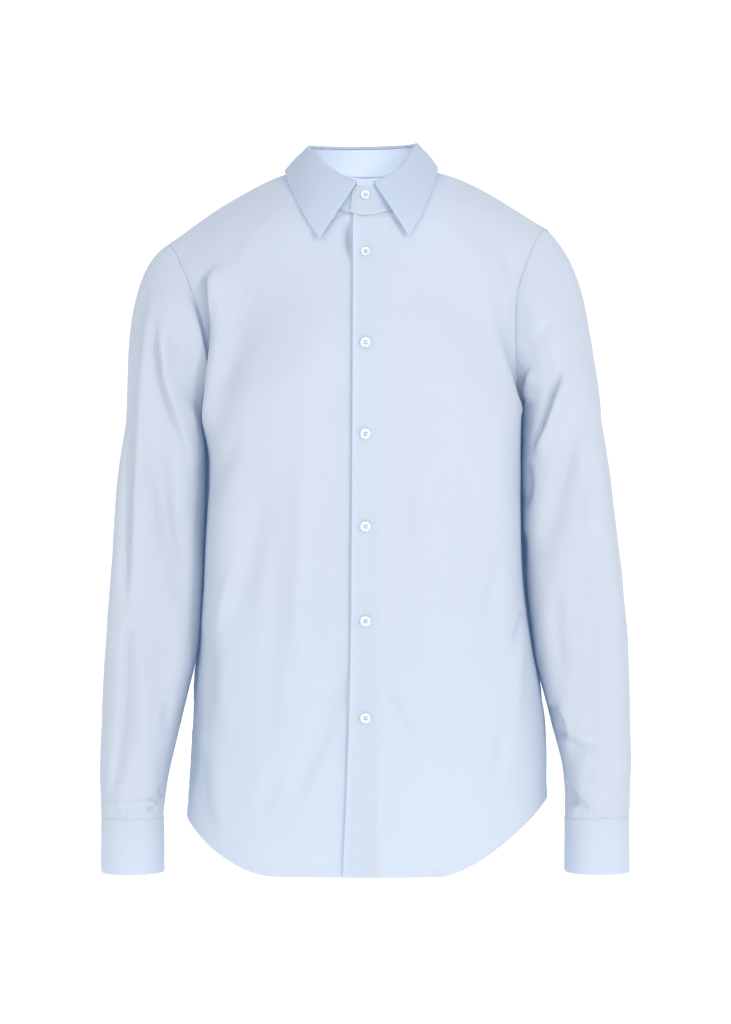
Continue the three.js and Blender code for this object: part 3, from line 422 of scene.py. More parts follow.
def poplin(name, colour, light, softness):
    """Pale blue cotton poplin on the panel's own cut: fine plain weave, slubs in the yarn, soft pressing."""
    material, tree, shader = new_material(name)
    cut = make_node(tree, "ShaderNodeUVMap", {"uv_map": "cut"})[0]
    place = object_place(tree)

    def turned_cut(**how):
        return make_node(tree, "ShaderNodeMapping", {}, {"Vector": cut, **how})[0]

    warp = noise(tree, turned_cut(Scale=WARP_STRETCH), 1.0)
    weft = noise(tree, turned_cut(Scale=WEFT_STRETCH, Location=(WEFT_SEED, 0, 0)), 1.0)
    yarns = warp * 0.5 + weft * 0.5
    cloudy = noise(tree, place, CLOUD_SCALE, 3.0)
    folded = make_node(tree, "ShaderNodeAttribute", {"attribute_name": "folded"})[2]
    # where plies lie behind, the ramp paints in a bluer tone that stands in for the light they stop
    shade = yarns * SHADE_BY_YARN + cloudy * SHADE_BY_CLOUD + folded * SHADE_BY_FOLD
    stops = list(zip(SHADES, (colour, light, PAINTED_BACKED_COLOUR, PAINTED_BACKED_LIGHT)))
    ramp(tree, shade, stops).into(shader, "Base Color")
    rough = yarns * CLOTH_ROUGH_YARN + CLOTH_ROUGH
    rough.into(shader, "Roughness")
    over_under = []
    for turn in (0, math.pi / 2):
        settings = {"wave_type": "BANDS", "bands_direction": "X", "wave_profile": "SIN"}
        values = {"Vector": turned_cut(Rotation=(0, 0, turn)), "Scale": 1 / (YARN * 20), "Distortion": 0.0}
        over_under.append(make_node(tree, "ShaderNodeTexWave", settings, values)[1])
    weave = over_under[0] * over_under[1]
    pressed = noise(tree, place, PRESSED_SCALE)

    def bump(height, strength, distance, **normal):
        values = {"Height": height, "Strength": strength, "Distance": distance, **normal}
        return make_node(tree, "ShaderNodeBump", {}, values)[0]

    yarn_bump = bump(weave + yarns, YARN_BUMP, YARN_DEEP)
    bump(pressed, PRESSED_BUMP, softness, Normal=yarn_bump).into(shader, "Normal")
    shader.inputs["Specular IOR Level"].default_value = 0.4
    shader.inputs["Sheen Weight"].default_value = 0.1
    shader.inputs["Sheen Roughness"].default_value = 0.5
    through = tree.nodes.new("ShaderNodeBsdfTranslucent")
    through.inputs["Color"].default_value = (*THROUGH_COLOUR, 1)
    both = tree.nodes.new("ShaderNodeMixShader")
    both.inputs[0].default_value = THROUGH
    tree.links.new(shader.outputs[0], both.inputs[1])
    tree.links.new(through.outputs[0], both.inputs[2])
    tree.links.new(both.outputs[0], tree.nodes["Material Output"].inputs["Surface"])
    return material


SINGLE_SOFT = 0.0012  # metres of soft unevenness that the pressing leaves in one ply
poplin_blue = poplin("poplin_blue", POPLIN_COLOUR, POPLIN_LIGHT, SINGLE_SOFT)

ARMHOLE = {
    LEFT: table(
        "at x y z", (0.0, 168, 6, -246), (0.09, 163, -26, -230), (0.2, 160, -47, -182),
        (0.32, 163, -46, -124), (0.44, 184, -19, -69), (0.5, 195, 3, -58), (0.57, 200, 30, -68),
        (0.67, 195, 60, -104), (0.8, 182, 72, -166), (0.92, 171, 46, -228),
    ),
    RIGHT: table(
        "at x y z", (0.0, 168, 6, -252), (0.09, 165, -20, -236), (0.2, 167, -38, -188),
        (0.32, 182, -42, -136), (0.44, 204, -17, -84), (0.5, 213, 4, -74), (0.57, 213, 30, -82),
        (0.67, 202, 60, -112), (0.8, 186, 72, -172), (0.92, 172, 46, -234),
    ),
}
AT_FRONT_SEAM, AT_SHOULDER, AT_BACK_SEAM = 0.44, 0.5, 0.67
armhole = {side: path_of(rows, looped=True) for side, rows in ARMHOLE.items()}
NECK = table(
    "at x y z topX topY topZ", (-0.22, -38, -84, -37, -33, -79, -4), (0.0, 0, -96, -50, 0, -90, -20),
    (0.22, 38, -84, -37, 33, -79, -4), (0.42, 61, -53, -13, 51, -51, 19), (0.58, 69, -14, 3, 55.5, -17, 30),
    (0.8, 54, 37, 6, 47, 31, 33), (1.0, 0, 61, 4, 0, 53, 32), (1.2, -54, 37, 6, -47, 31, 33),
)
AT_NECK_POINT = 0.58
neck_seam = path_of(NECK)

BODY = table(
    "at frontY frontZ power wrap", (0.0, -124, -744, 2.35, 1), (0.16, -123, -622, 2.45, 1),
    (0.32, -119, -486, 3.0, 1), (0.48, -119, -348, 3.2, 1), (0.64, -121, -205, 3.0, 1),
    (0.8, -96, -50, 2.2, 0.72), (1.0, -65, 144, 2.0, 0.55),
)
AT_UNDERARM, AT_NECK = 0.64, 0.8
body_row = {name: column(BODY, name) for name in BODY}
SIDE_SEAM = {
    LEFT: table(
        "at x y z bend ramp", (0.0, 195, 3, -669, 1.55, 0.4), (0.16, 191, 3, -584, 1.4, 0.3),
        (0.32, 173, 4, -470, 1.1, 0.15), (0.48, 166, 5, -358, 1, 0.15), (0.64, 168, 6, -246, 1, 0.15),
        (0.8, 168, 6, -246, 1.2, 0.15), (1.0, 168, 6, -246, 1.4, 0),
    ),
    RIGHT: table(
        "at x y z bend ramp", (0.0, 192, 3, -690, 1.9, 0.5), (0.16, 186, 3, -594, 1.5, 0.3),
        (0.32, 176, 4, -476, 1.1, 0.15), (0.48, 170, 5, -364, 1, 0.15), (0.64, 168, 6, -252, 1, 0.15),
        (0.8, 168, 6, -252, 1.2, 0.15), (1.0, 168, 6, -252, 1.4, 0),
    ),
}
side_seam = {side: path_of(rows) for side, rows in SIDE_SEAM.items()}
side_shape = {
    side: {name: column(rows, name) for name in ("bend", "ramp")} for side, rows in SIDE_SEAM.items()
}
LAP = table("at upper under", (0.0, 24, 12), (0.15, 19, 13), (0.32, 15.5, 15), (0.8, 13, 15))
lap = {LEFT: column(LAP, "upper"), RIGHT: column(LAP, "under")}
NECK_LAP = {LEFT: 0.075, RIGHT: 0.087}
LAP_DEPTH, LAP_COVER, LAP_FADE = 2.1, 26, 40
FRONT_FOLDS = {
    RIGHT: [
        (0.72, 0.92, 0.82, 0.62, 20, 8), (0.3, 0.66, 0.4, 0.22, 30, -3.5), (0.2, 0.24, 0.42, 0.05, 22, 3),
        (0.62, 0.56, 0.6, 0.2, 26, 3), (0.86, 0.2, 0.95, 0.05, 22, -5),
    ],
    LEFT: [
        (0.7, 0.82, 0.8, 0.58, 24, 5), (0.2, 0.3, 0.34, 0.08, 22, -3.5), (0.45, 0.7, 0.42, 0.24, 32, -3),
        (0.88, 0.26, 0.92, 0.08, 20, 3),
    ],
}
FRONT_WIDTH, FRONT_LENGTH = 220, 720
FOLD_FADE_HEM, FOLD_FADE_TOP, FOLD_FADE_SEAM = 0.05, 0.12, 0.09
FOLD_START, FOLD_FADE_CENTRE = 0.12, 0.1


def mirrored(points, side):
    return points * np.array([side, 1, 1])


def row_points(a, inner, outer, power, wrap, ramp, bend):
    """Rows from an inner to an outer end, each part of a quarter of a superellipse."""
    def sine(turn):
        return np.sign(turn) * np.abs(np.sin(turn)) ** (2 / power)

    def cosine(turn):
        return np.maximum(0, np.cos(turn)) ** (2 / power)

    end = wrap * np.pi / 2
    start_x = np.maximum(0, inner[..., 0])
    width = (outer[..., 0] - start_x) / sine(end)
    start = -np.arcsin(np.maximum(0, -inner[..., 0] / width) ** (power / 2))
    turn = mix(start, end, a)
    x = start_x + width * sine(turn)
    level = (cosine(turn) - cosine(end)) / (1 - cosine(end))
    out = np.clip((x - start_x) / (outer[..., 0] - start_x), 0, 1)
    climb = np.clip((out - ramp) / (1 - ramp), 0, 1) ** bend
    y = mix(outer[..., 1], inner[..., 1], level)
    z = mix(inner[..., 2], outer[..., 2], climb)
    return np.stack([x, y, z], -1)


def row_shape(side, b):
    own = {name: value(b) for name, value in side_shape[side].items()}
    return {"power": body_row["power"](b), "wrap": body_row["wrap"](b), **own}


MEAN_REACH, MEAN_WEIGHTS, MEAN_START = 0.085, (1, 4, 8, 11, 12, 11, 8, 4, 1), 0.12
MEAN_OVER_CENTRE, MEAN_OVER_EDGE, MEAN_OVER_ENDS = 0.3, 0.25, 0.1


def evened(rows, inside, b):
    """The mean of a panel's rows over a short reach up and down, so that no row shows as a fold."""
    reach = MEAN_REACH * inside * rising(b, 0, MEAN_OVER_ENDS) * rising(1 - b, 0, MEAN_OVER_ENDS)
    middle = len(MEAN_WEIGHTS) // 2
    shifted = [weight * rows(b + reach * (k - middle) / middle) for k, weight in enumerate(MEAN_WEIGHTS)]
    return sum(shifted) / sum(MEAN_WEIGHTS)


def front_rows(side, a, b):
    above = np.clip((b - AT_UNDERARM) / (1 - AT_UNDERARM), 0, 1)
    outer = np.where((b <= AT_UNDERARM)[..., None], side_seam[side](b), armhole[side](above * AT_FRONT_SEAM))
    edge = np.stack([-lap[side](b), body_row["frontY"](b), body_row["frontZ"](b)], -1)
    over = np.clip((b - AT_NECK) / (1 - AT_NECK), 0, 1)
    inner = np.where((b <= AT_NECK)[..., None], edge, neck_seam(mix(-NECK_LAP[side], AT_NECK_POINT, over)))
    return row_points(a, inner, outer, **row_shape(side, b))


def front_form(side):
    def form(a, b):
        inside = rising(a, MEAN_START, MEAN_OVER_CENTRE) * rising(1 - a, 0, MEAN_OVER_EDGE)
        points = evened(lambda row: front_rows(side, a, row), inside, b)
        if side == RIGHT:
            points[..., 1] += LAP_DEPTH * falling(points[..., 0], LAP_COVER, LAP_FADE)
        sideways = rising(1 - a, 0, FOLD_FADE_SEAM) * rising(a, FOLD_START, FOLD_FADE_CENTRE)
        up_and_down = rising(b, 0, FOLD_FADE_HEM) * rising(1 - b, 0, FOLD_FADE_TOP)
        height = ridge_height(FRONT_FOLDS[side], a, b, FRONT_WIDTH, FRONT_LENGTH) * sideways * up_and_down
        points[..., 0] += height * np.sin(a * np.pi / 2)
        points[..., 1] -= height * np.cos(a * np.pi / 2)
        return mirrored(points, side)

    return form


# Creases: places (x, z), widths on the left and right hand of the way they run, height, and fades.
FRONT_CREASES = {
    RIGHT: [
        # the roll over the front of the armhole, and the shade behind it
        (((-160, -97), (-161, -124), (-159, -145), (-156, -166), (-157, -187), (-159, -213), (-162, -240),
          (-167, -280), (-171, -312)), 14, 3.0, 7.5, 0.1, 0.3),
        (((-167, -102), (-168, -124), (-166, -145), (-163, -166), (-165, -187)), 3.0, 9, -7.0, 0.15, 0.1),
        (((-74, -30), (-112, -62), (-146, -108)), 16, 12, 1.6, 0.5, 0.4),
        (((-128, -270), (-150, -310), (-166, -360)), 14, 12, -2.6, 0.4, 0.4),
        # hollow at the waist and the slack below it
        (((-172, -474), (-168, -520), (-168, -560), (-174, -612)), 14, 12, -4.4, 0.4, 0.4),
        (((-160, -590), (-156, -660), (-146, -720)), 16, 12, 2.4, 0.4, 0.4),
        (((-178, -600), (-174, -650), (-166, -700)), 9, 12, -3.0, 0.4, 0.4),
        (((-106, -320), (-119, -405), (-137, -470), (-149, -520)), 20, 16, -4.2, 0.4, 0.4),
        (((-132, -400), (-148, -450), (-160, -500)), 9, 9, 2.6, 0.4, 0.4),
        (((-66, -287), (-68, -413), (-73, -560)), 13, 13, 2.8, 0.4, 0.4),
        (((-45, -308), (-50, -455), (-60, -560)), 11, 11, -2.0, 0.4, 0.4),
        (((-93, -340), (-94, -470), (-104, -640)), 12, 12, -2.2, 0.4, 0.4),
        # slack drawn down from the front edge
        (((-20, -520), (-27, -560), (-43, -597), (-61, -634), (-75, -670), (-90, -700)),
         12, 15, -2.8, 0.2, 0.4),
        (((-22, -560), (-36, -604), (-52, -640), (-66, -680)), 11, 13, 2.0, 0.3, 0.5),
        (((-84, -600), (-98, -650), (-120, -700)), 14, 12, -2.2, 0.4, 0.4),
    ],
    LEFT: [
        (((150, -74), (154, -102), (157, -124)), 5, 9, -1.8, 0.5, 0.4),
        (((161, -208), (164, -226), (169, -246)), 7, 4, -3.4, 0.35, 0.3),
        (((96, -46), (116, -84), (128, -124)), 14, 14, 1.8, 0.5, 0.5),
        (((13, -517), (20, -549), (36, -576), (52, -612), (60, -632)), 11, 6, -2.0, 0.35, 0.55),
        (((26, -530), (42, -566), (62, -606)), 13, 11, 1.4, 0.4, 0.5),
        (((60, -250), (56, -380), (62, -520)), 14, 14, 2.0, 0.5, 0.5),
        (((112, -260), (104, -360), (110, -470)), 12, 12, -2.2, 0.5, 0.5),
        (((150, -390), (134, -440), (128, -520)), 10, 12, -2.2, 0.3, 0.6),
        (((168, -468), (161, -492), (155, -512)), 5, 5, -2.6, 0.15, 0.5),
        (((168, -480), (160, -540), (162, -600)), 9, 10, 2.2, 0.3, 0.5),
        (((150, -560), (142, -620), (120, -690)), 11, 11, -2.2, 0.4, 0.5),
        (((16, -640), (19, -690), (24, -730)), 8, 6, -1.6, 0.4, 0.3),
    ],
}
SIDE_EASE, SIDE_EASE_AT, SIDE_EASE_WIDE = 3.6, 6, 9  # the body's side swells into the sleeve beside it
SIDE_EASE_TOP, SIDE_EASE_FOOT = (252, 34), (540, 50)  # how far down it begins and ends, and over how much


def side_ease(points, inner=1.0):
    """How far the body's side swells, and the sleeve beside it gives way, where the two hang together."""
    beside = np.exp(-(((points[..., 1] - SIDE_EASE_AT) / SIDE_EASE_WIDE) ** 2)) * inner
    down = -points[..., 2]
    return SIDE_EASE * beside * rising(down, *SIDE_EASE_TOP) * falling(down, *SIDE_EASE_FOOT)


PLACKET = 30.0  # width of the turned-back front edge
EDGE_LIFT = 1.6  # how far the upper front's pressed edge stands off the under front
EDGE_STAND_OFF, EDGE_DROP, EDGE_DROP_AT, EDGE_DROP_WIDE = 2.2, 7, 17.5, 4.8
FACING_STEP = 0.25
HEM = 6.5  # depth of the narrow rolled hem
HEM_STEP = 0.25
SEAM_STEP = 0.35  # how far the felled edge of a seam stands up
SEAM_GROOVE = 0.9  # depth of the groove at a seam, in such steps
FELL = 7.0  # width of a felled seam
HEM_INSET, FELL_INSET, FOLD_SOFT = 0.6, 0.8, 1.4  # where a turned edge steps down, and how softly
HEM_PLIES, FRONT_PLIES = 0.8, 2.4
PUCKER_PITCHES = (9.0, 13.0, 21.0)
HEM_PUCKER = (0.45, 14)  # depth and reach


def felled(distance):
    """A felled seam beside an edge: a flat ridge as wide as the seam, with a groove at the edge itself."""
    ridge = SEAM_STEP * falling(distance, FELL - FELL_INSET, 1.8)
    return ridge - SEAM_GROOVE * SEAM_STEP * falling(distance, 0, FOLD_SOFT)


def hem_step(distance):
    return HEM_STEP * falling(distance, HEM - HEM_INSET, FOLD_SOFT)


def hem_plies(distance):
    """The further plies that the rolled hem adds to the cloth."""
    return falling(distance, HEM - HEM_INSET, 1.0) * HEM_PLIES


def puckers(seed, along_mm, distance, depth=0.35, reach=11):
    """The small ripples that a tight row of stitches draws into the cloth beside it."""
    draw = np.random.default_rng(seed)
    ripple = 0
    for pitch in PUCKER_PITCHES:
        turn = 2 * np.pi * along_mm / pitch + draw.uniform(0, 2 * np.pi)
        ripple = ripple + np.sin(turn) / len(PUCKER_PITCHES)
    return ripple * depth * np.exp(-(distance / reach) ** 2)


def mark_folded(piece, share):
    """Tells the cloth's material where other plies lie behind this one, where it paints in the bluer tone of
    the light they stop.
    """
    folded = piece.data.attributes.new("folded", "FLOAT", "POINT")
    folded.data.foreach_set("value", np.tile(share.ravel(), 2))


# Where a height fades near an edge: from how many millimetres off it, and over how many more.
CREASE_OFF = {"edge": (6, 24), "side": (0, 5), "hem": (0, 12), "top": (0, 14)}
UNEVEN_OFF = {"edge": (0, 60), "side": (0, 20), "top": (0, 25)}
UNEVEN = ((150, 80, 45), 2.8)  # the sizes of its waves, and their height
OPEN_FROM, OPEN_OVER = -102, 24  # the height at which the front edges begin to part under the collar
OPEN_TOP, OPEN_TOP_OVER = 0.02, 0.018  # where they close again beneath the neck seam, in shares of the edge
EDGE_OFF_HEM, EDGE_OFF_TOP = (0, 30), (20, 30)
FRONT_STEP, FRONT_FINE_STEP, FRONT_FINE = 2.8, 1.7, (165, 240)  # fine where the creases beside the arm run
front_across = places(240, FRONT_STEP, creased=(*FRONT_FINE, FRONT_FINE_STEP))
front_along = places(740, 2.5)
fronts = {}
for word, side in (("left", LEFT), ("right", RIGHT)):
    panel = Panel(front_form(side), front_across, front_along, side)
    to_side = panel.u[:, -1:] - panel.u
    from_hem = panel.v
    to_yoke = panel.v[-1:] - panel.v
    height = crease_height(panel.points, FRONT_CREASES[side]) * rising(panel.u, *CREASE_OFF["edge"])
    height = height * rising(to_side, *CREASE_OFF["side"]) * rising(from_hem, *CREASE_OFF["hem"])
    height = height * rising(to_yoke, *CREASE_OFF["top"])
    uneven = waves(11 + side, panel.u, panel.v, *UNEVEN) * rising(panel.u, *UNEVEN_OFF["edge"])
    height = height + uneven * rising(to_side, *UNEVEN_OFF["side"]) * rising(to_yoke, *UNEVEN_OFF["top"])
    height = height + hem_step(from_hem) + felled(to_side)
    height = height + puckers(21 + side, panel.v, to_side)
    height = height + puckers(31 + side, panel.u, from_hem, *HEM_PUCKER)
    # below the neck the upper edge stands off a little, and the under front drops back beneath it
    near_neck = rising(panel.points[..., 2], OPEN_FROM, OPEN_OVER)
    near_neck = near_neck * falling(panel.B, AT_NECK - OPEN_TOP, OPEN_TOP_OVER)
    if side == LEFT:
        height = height + FACING_STEP * falling(panel.u, PLACKET - 0.7, 1.6)
        height = height + EDGE_STAND_OFF * falling(panel.u, 0, 12) * near_neck
        lifted = EDGE_LIFT * falling(panel.u, 0, 6)
        height = height + lifted * rising(from_hem, *EDGE_OFF_HEM) * rising(to_yoke, *EDGE_OFF_TOP)
    else:
        from_edge = (-panel.points[..., 0] - EDGE_DROP_AT) / EDGE_DROP_WIDE
        height = height - EDGE_DROP * np.exp(-(from_edge**2)) * near_neck
    height = height + side_ease(panel.points)
    panel.raise_by(height)
    placket = falling(panel.u, PLACKET - 1, 1.2)
    plies = 1 + placket + hem_plies(from_hem)
    front = panel.build(f"shirt_front_{word}", poplin_blue, np.minimum(plies, FRONT_PLIES))
    mark_folded(front, placket)
    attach(front, "root")
    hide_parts(f"front_{word}")
    fronts[side] = panel

# ---------------------------------------------------------------- back
# One panel of single poplin from the yoke seam down to the curved shirt tail. It is felled to the fronts at
# the side seams, and its tail has a narrow rolled hem.
BACK = table(
    "at backY backZ wrap", (0.0, 119, -752, 1), (0.22, 115, -620, 1), (0.44, 101, -470, 1),
    (0.6, 102, -346, 1), (0.73, 112, -250, 1), (1.0, 110, -98, 0.62),
)
back_row = {name: column(BACK, name) for name in BACK}
BACK_UNDERARM = 16 / 22
BACK_FOLDS = [
    (0.2, 0.86, 0.3, 0.4, 24, 5), (0.8, 0.9, 0.72, 0.36, 24, 5), (0.36, 0.6, 0.4, 0.16, 24, -4),
    (0.62, 0.52, 0.6, 0.1, 26, -4.5), (0.5, 0.5, 0.52, 0.06, 24, 3.5),
]
BACK_WIDTH, BACK_LENGTH = 440, 640
BACK_CREASES = [
    (((146, -150), (132, -230), (110, -330)), 10, 14, 2.2, 0.3, 0.5),
    (((160, -190), (150, -260), (136, -330)), 9, 9, -2.2, 0.3, 0.5),
    (((-150, -150), (-134, -240), (-112, -320)), 14, 10, 2.0, 0.3, 0.5),
    (((-162, -200), (-152, -270), (-140, -340)), 9, 9, -2.2, 0.3, 0.5),
    (((60, -300), (52, -420), (58, -560)), 12, 12, -2.0, 0.4, 0.5),
    (((-30, -360), (-40, -470), (-32, -610)), 12, 12, -2.0, 0.4, 0.5),
    (((14, -420), (22, -540), (12, -680)), 12, 12, 1.8, 0.4, 0.5),
    (((150, -420), (128, -470), (104, -500)), 9, 9, -2.2, 0.2, 0.6),
    (((-154, -440), (-130, -480), (-104, -496)), 9, 9, -2.0, 0.2, 0.6),
    (((120, -560), (110, -640), (84, -710)), 11, 11, -1.8, 0.4, 0.5),
    (((-124, -570), (-112, -650), (-90, -716)), 11, 11, -1.8, 0.4, 0.5),
]


def back_rows(side, share, b):
    low = np.minimum(b, BACK_UNDERARM) / BACK_UNDERARM * AT_UNDERARM
    upper = np.clip((b - BACK_UNDERARM) / (1 - BACK_UNDERARM), 0, 1)
    inner = np.stack([np.zeros_like(share), back_row["backY"](b), back_row["backZ"](b)], -1)
    outer = np.where((upper > 0)[..., None], armhole[side](mix(1, AT_BACK_SEAM, upper)), side_seam[side](low))
    shape = {**row_shape(side, low), "wrap": back_row["wrap"](b)}
    return mirrored(row_points(share, inner, outer, **shape), side)


def back_form(a, b):
    share = np.abs(a - 0.5) * 2
    inside = rising(1 - share, 0, MEAN_OVER_EDGE)
    halves = [evened(lambda row, side=side: back_rows(side, share, row), inside, b) for side in (LEFT, RIGHT)]
    points = np.where((a <= 0.5)[..., None], *halves)
    way = np.where(a <= 0.5, LEFT, RIGHT)
    flat = rising(b, 0, FOLD_FADE_HEM) * rising(1 - b, 0, FOLD_FADE_TOP)
    flat = flat * rising(1 - share, 0, FOLD_FADE_SEAM)
    height = ridge_height(BACK_FOLDS, a, b, BACK_WIDTH, BACK_LENGTH) * flat
    points[..., 0] += way * height * np.sin(share * np.pi / 2)
    points[..., 1] += height * np.cos(share * np.pi / 2)
    return points


BACK_STEP = 3.6
BACK_CREASE_OFF_EDGE = (0, 14)
BACK_GROOVE, BACK_GROOVE_SOFT = 1.4, 1.6  # the groove where the fronts and the yoke are sewn over the back
back = Panel(back_form, places(470, BACK_STEP), places(690, BACK_STEP), 1)
to_edge = np.minimum(back.u, back.u[:, -1:] - back.u)
to_yoke = back.v[-1:] - back.v
height = crease_height(back.points, BACK_CREASES) * rising(to_edge, *BACK_CREASE_OFF_EDGE)
height = height * rising(back.v, *CREASE_OFF["hem"]) * rising(to_yoke, *CREASE_OFF["top"])
uneven = waves(5, back.u, back.v, *UNEVEN) * rising(to_edge, *UNEVEN_OFF["side"])
height = height + uneven * rising(to_yoke, *UNEVEN_OFF["top"])
height = height + hem_step(back.v) + puckers(41, back.u, back.v, *HEM_PUCKER)
height = height - BACK_GROOVE * SEAM_STEP * falling(np.minimum(to_edge, to_yoke), 0, BACK_GROOVE_SOFT)
height = height + puckers(42, back.v, to_edge) + side_ease(back.points)
back.raise_by(height)
back_piece = back.build("shirt_back", poplin_blue, 1 + hem_plies(back.v))
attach(back_piece, "root")
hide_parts("back")

# ---------------------------------------------------------------- yoke
# Two plies of poplin over the shoulders, between the neck, the armholes, the back and the fronts. Its seams
# lie over the edges of the panels below it and are stitched down close to the fold.
FRONT_COLUMNS, NECK_COLUMNS = 10, 3
NECK_SHARE = NECK_COLUMNS / (NECK_COLUMNS + FRONT_COLUMNS)
YOKE_PLACES = (0, 0.42, 0.84, 1)
YOKE_SWELL = np.array([0, 9, 12])
RIDGE_Y = 6
RIDGE_NECK = np.array([5, 0, 1.2])
RIDGE_BEND = 1.38
NAPE_RISE = 4
YOKE_GAP = 0.3


def spline_over(knots, places_at, b):
    """The same spline as column(), through knots that are themselves grids of points."""
    slopes = []
    last = len(knots) - 1
    for i, knot in enumerate(knots):
        low, high = knots[max(0, i - 1)], knots[min(last, i + 1)]
        rise = (high - low) / (places_at[min(last, i + 1)] - places_at[max(0, i - 1)])
        turns = (knot - low) * (high - knot) <= 0
        slopes.append(np.where(turns, 0, rise) if 0 < i < last else rise)
    total = np.zeros_like(knots[0])
    for i in range(last):
        span = places_at[i + 1] - places_at[i]
        t = np.clip((b - places_at[i]) / span, 0, 1)[..., None]
        here = mix(knots[i], knots[i + 1], t * t * (3 - 2 * t))
        here = here + t * (1 - t) ** 2 * span * slopes[i] + t * t * (t - 1) * span * slopes[i + 1]
        inside = (b >= places_at[i]) & ((b < places_at[i + 1]) | (i == last - 1))
        total = np.where(inside[..., None], here, total)
    return total


def over_shoulder(start, ridge, end, b):
    return spline_over([start, mix(start, ridge, 0.5) + YOKE_SWELL, ridge, end], YOKE_PLACES, b)


def yoke_form(a, b):
    halves = []
    one = np.ones_like(a)
    for side in (LEFT, RIGHT):
        share = np.abs(a - 0.5) * 2
        over_neck = (share <= NECK_SHARE)[..., None]
        near_neck, beyond = share / NECK_SHARE, (share - NECK_SHARE) / (1 - NECK_SHARE)
        along = np.clip(np.where(over_neck[..., 0], near_neck, beyond), 0, 1)
        seams = (AT_BACK_SEAM, AT_SHOULDER, AT_FRONT_SEAM)
        back_end, shoulder, front_end = (armhole[side](at * one) for at in seams)
        shape = row_shape(side, one)
        neck_point = neck_seam(AT_NECK_POINT * one)
        ridge_end = neck_point + RIDGE_NECK
        ridge_end[..., 1] = RIDGE_Y
        start = mirrored(back_rows(side, share, one), side) + np.array([0, 0, YOKE_GAP])
        on_front = row_points(along, neck_point, front_end, **shape)
        end = np.where(over_neck, neck_seam(mix(1, AT_NECK_POINT, along)), on_front)
        out = row_points(along, ridge_end, shoulder, **{**shape, "bend": RIDGE_BEND})
        nape = mix(start, end, YOKE_PLACES[2]) + np.array([0, 0, NAPE_RISE])
        ridge = np.where(over_neck, mix(nape, ridge_end, along[..., None] ** 2), out)
        points = over_shoulder(start, ridge, end, b)
        on_armhole = armhole[side](mix(AT_BACK_SEAM, AT_FRONT_SEAM, b))
        to_edge = np.where(over_neck[..., 0], 0, along**3)[..., None]
        points = points + (on_armhole - over_shoulder(back_end, shoulder, front_end, b)) * to_edge
        halves.append(mirrored(points, side))
    return np.where((a <= 0.5)[..., None], *halves)


YOKE_UNEVEN, YOKE_PUCKER = ((120, 60), 0.8), 0.25
YOKE_PLIES = 2.0
yoke = Panel(yoke_form, places(500, 3.6), places(190, 3.4), 1)
to_front = yoke.v[-1:] - yoke.v
to_arm = np.minimum(yoke.u, yoke.u[:, -1:] - yoke.u)
beside_neck = rising(np.abs(yoke.A - 0.5) * 2, NECK_SHARE, 0.02)
uneven = waves(52, yoke.u, yoke.v, *YOKE_UNEVEN) * rising(np.minimum(yoke.v, to_front), *UNEVEN_OFF["side"])
height = felled(yoke.v) + felled(to_front) * beside_neck
height = height + puckers(51, yoke.u, yoke.v, YOKE_PUCKER) + uneven + felled(to_arm)
yoke.raise_by(height)
yoke_piece = yoke.build("shirt_yoke", poplin_blue, YOKE_PLIES)
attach(yoke_piece, "root")
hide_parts("yoke")

# ---------------------------------------------------------------- sleeves
# Each sleeve is one panel of poplin, eased into the armhole, felled along the underarm, and gathered into two
# pleats at the cuff. A narrow pointed placket closes the slit behind the wrist.
SLEEVE = {
    LEFT: table(
        "at x y z wide deep turn power", (0.3, 212, 10, -264, 42.5, 68, -4, 2.5),
        (0.4, 217, 8, -330, 48, 64, -4, 3.2), (0.55, 224, 2, -430, 51.5, 58, 0, 3.5),
        (0.68, 233, -6, -520, 49.5, 54, 0, 3.3), (0.78, 241, -14, -585, 42, 51, 0, 2.9),
        (0.88, 248, -20, -640, 36, 48, 0, 2.4), (1.0, 248, -24, -688, 34, 42, 0, 2.3),
    ),
    RIGHT: table(
        "at x y z wide deep turn power", (0.3, 215.5, 12, -268, 44.5, 68, -4, 2.5),
        (0.4, 221, 12, -330, 47.5, 64, -6, 3.0), (0.55, 225, 8, -430, 50, 58, -4, 3.4),
        (0.68, 232, 0, -520, 49.5, 54, -2, 3.3), (0.78, 241, -8, -585, 42, 51, 0, 2.9),
        (0.88, 248, -14, -640, 37, 48, 0, 2.4), (1.0, 250, -18, -689, 33, 42, 0, 2.3),
    ),
}
AT_UPPER_ARM = 0.3
SLEEVE_FOLDS = {
    RIGHT: [
        (0.42, 0.16, 0.4, 0.66, 10, 4), (0.36, 0.24, 0.2, 0.56, 10, -5), (0.2, 0.2, 0.12, 0.36, 11, 4),
        (0.34, 0.52, 0.16, 0.76, 13, -4), (0.62, 0.3, 0.8, 0.6, 14, -4), (0.12, 0.955, 0.42, 0.97, 7, 3),
    ],
    LEFT: [
        (0.34, 0.28, 0.14, 0.52, 10, -6), (0.4, 0.34, 0.2, 0.58, 13, 4), (0.2, 0.84, 0.36, 0.9, 14, -4),
        (0.1, 0.93, 0.2, 0.985, 8, -4), (0.64, 0.34, 0.82, 0.62, 14, -4),
    ],
}
SLEEVE_AROUND, SLEEVE_LENGTH = 340, 620
SLEEVE_FADE_CAP, SLEEVE_FADE_CUFF = 0.11, 0.033
ARMHOLE_CLEAR = 0.1
CAP = {LEFT: (0.76, 0.65, 0.82), RIGHT: (0.84, 0.54, 0.9)}  # how far it leaves out and down, and its swell
UNDER_CAP_OUT, UNDER_CAP_DOWN, CAP_SPREAD, ARM_LEAN = 0.9, 0.25, 0.42, 0.08
sleeve_ring = {side: {name: column(rows, name) for name in rows} for side, rows in SLEEVE.items()}


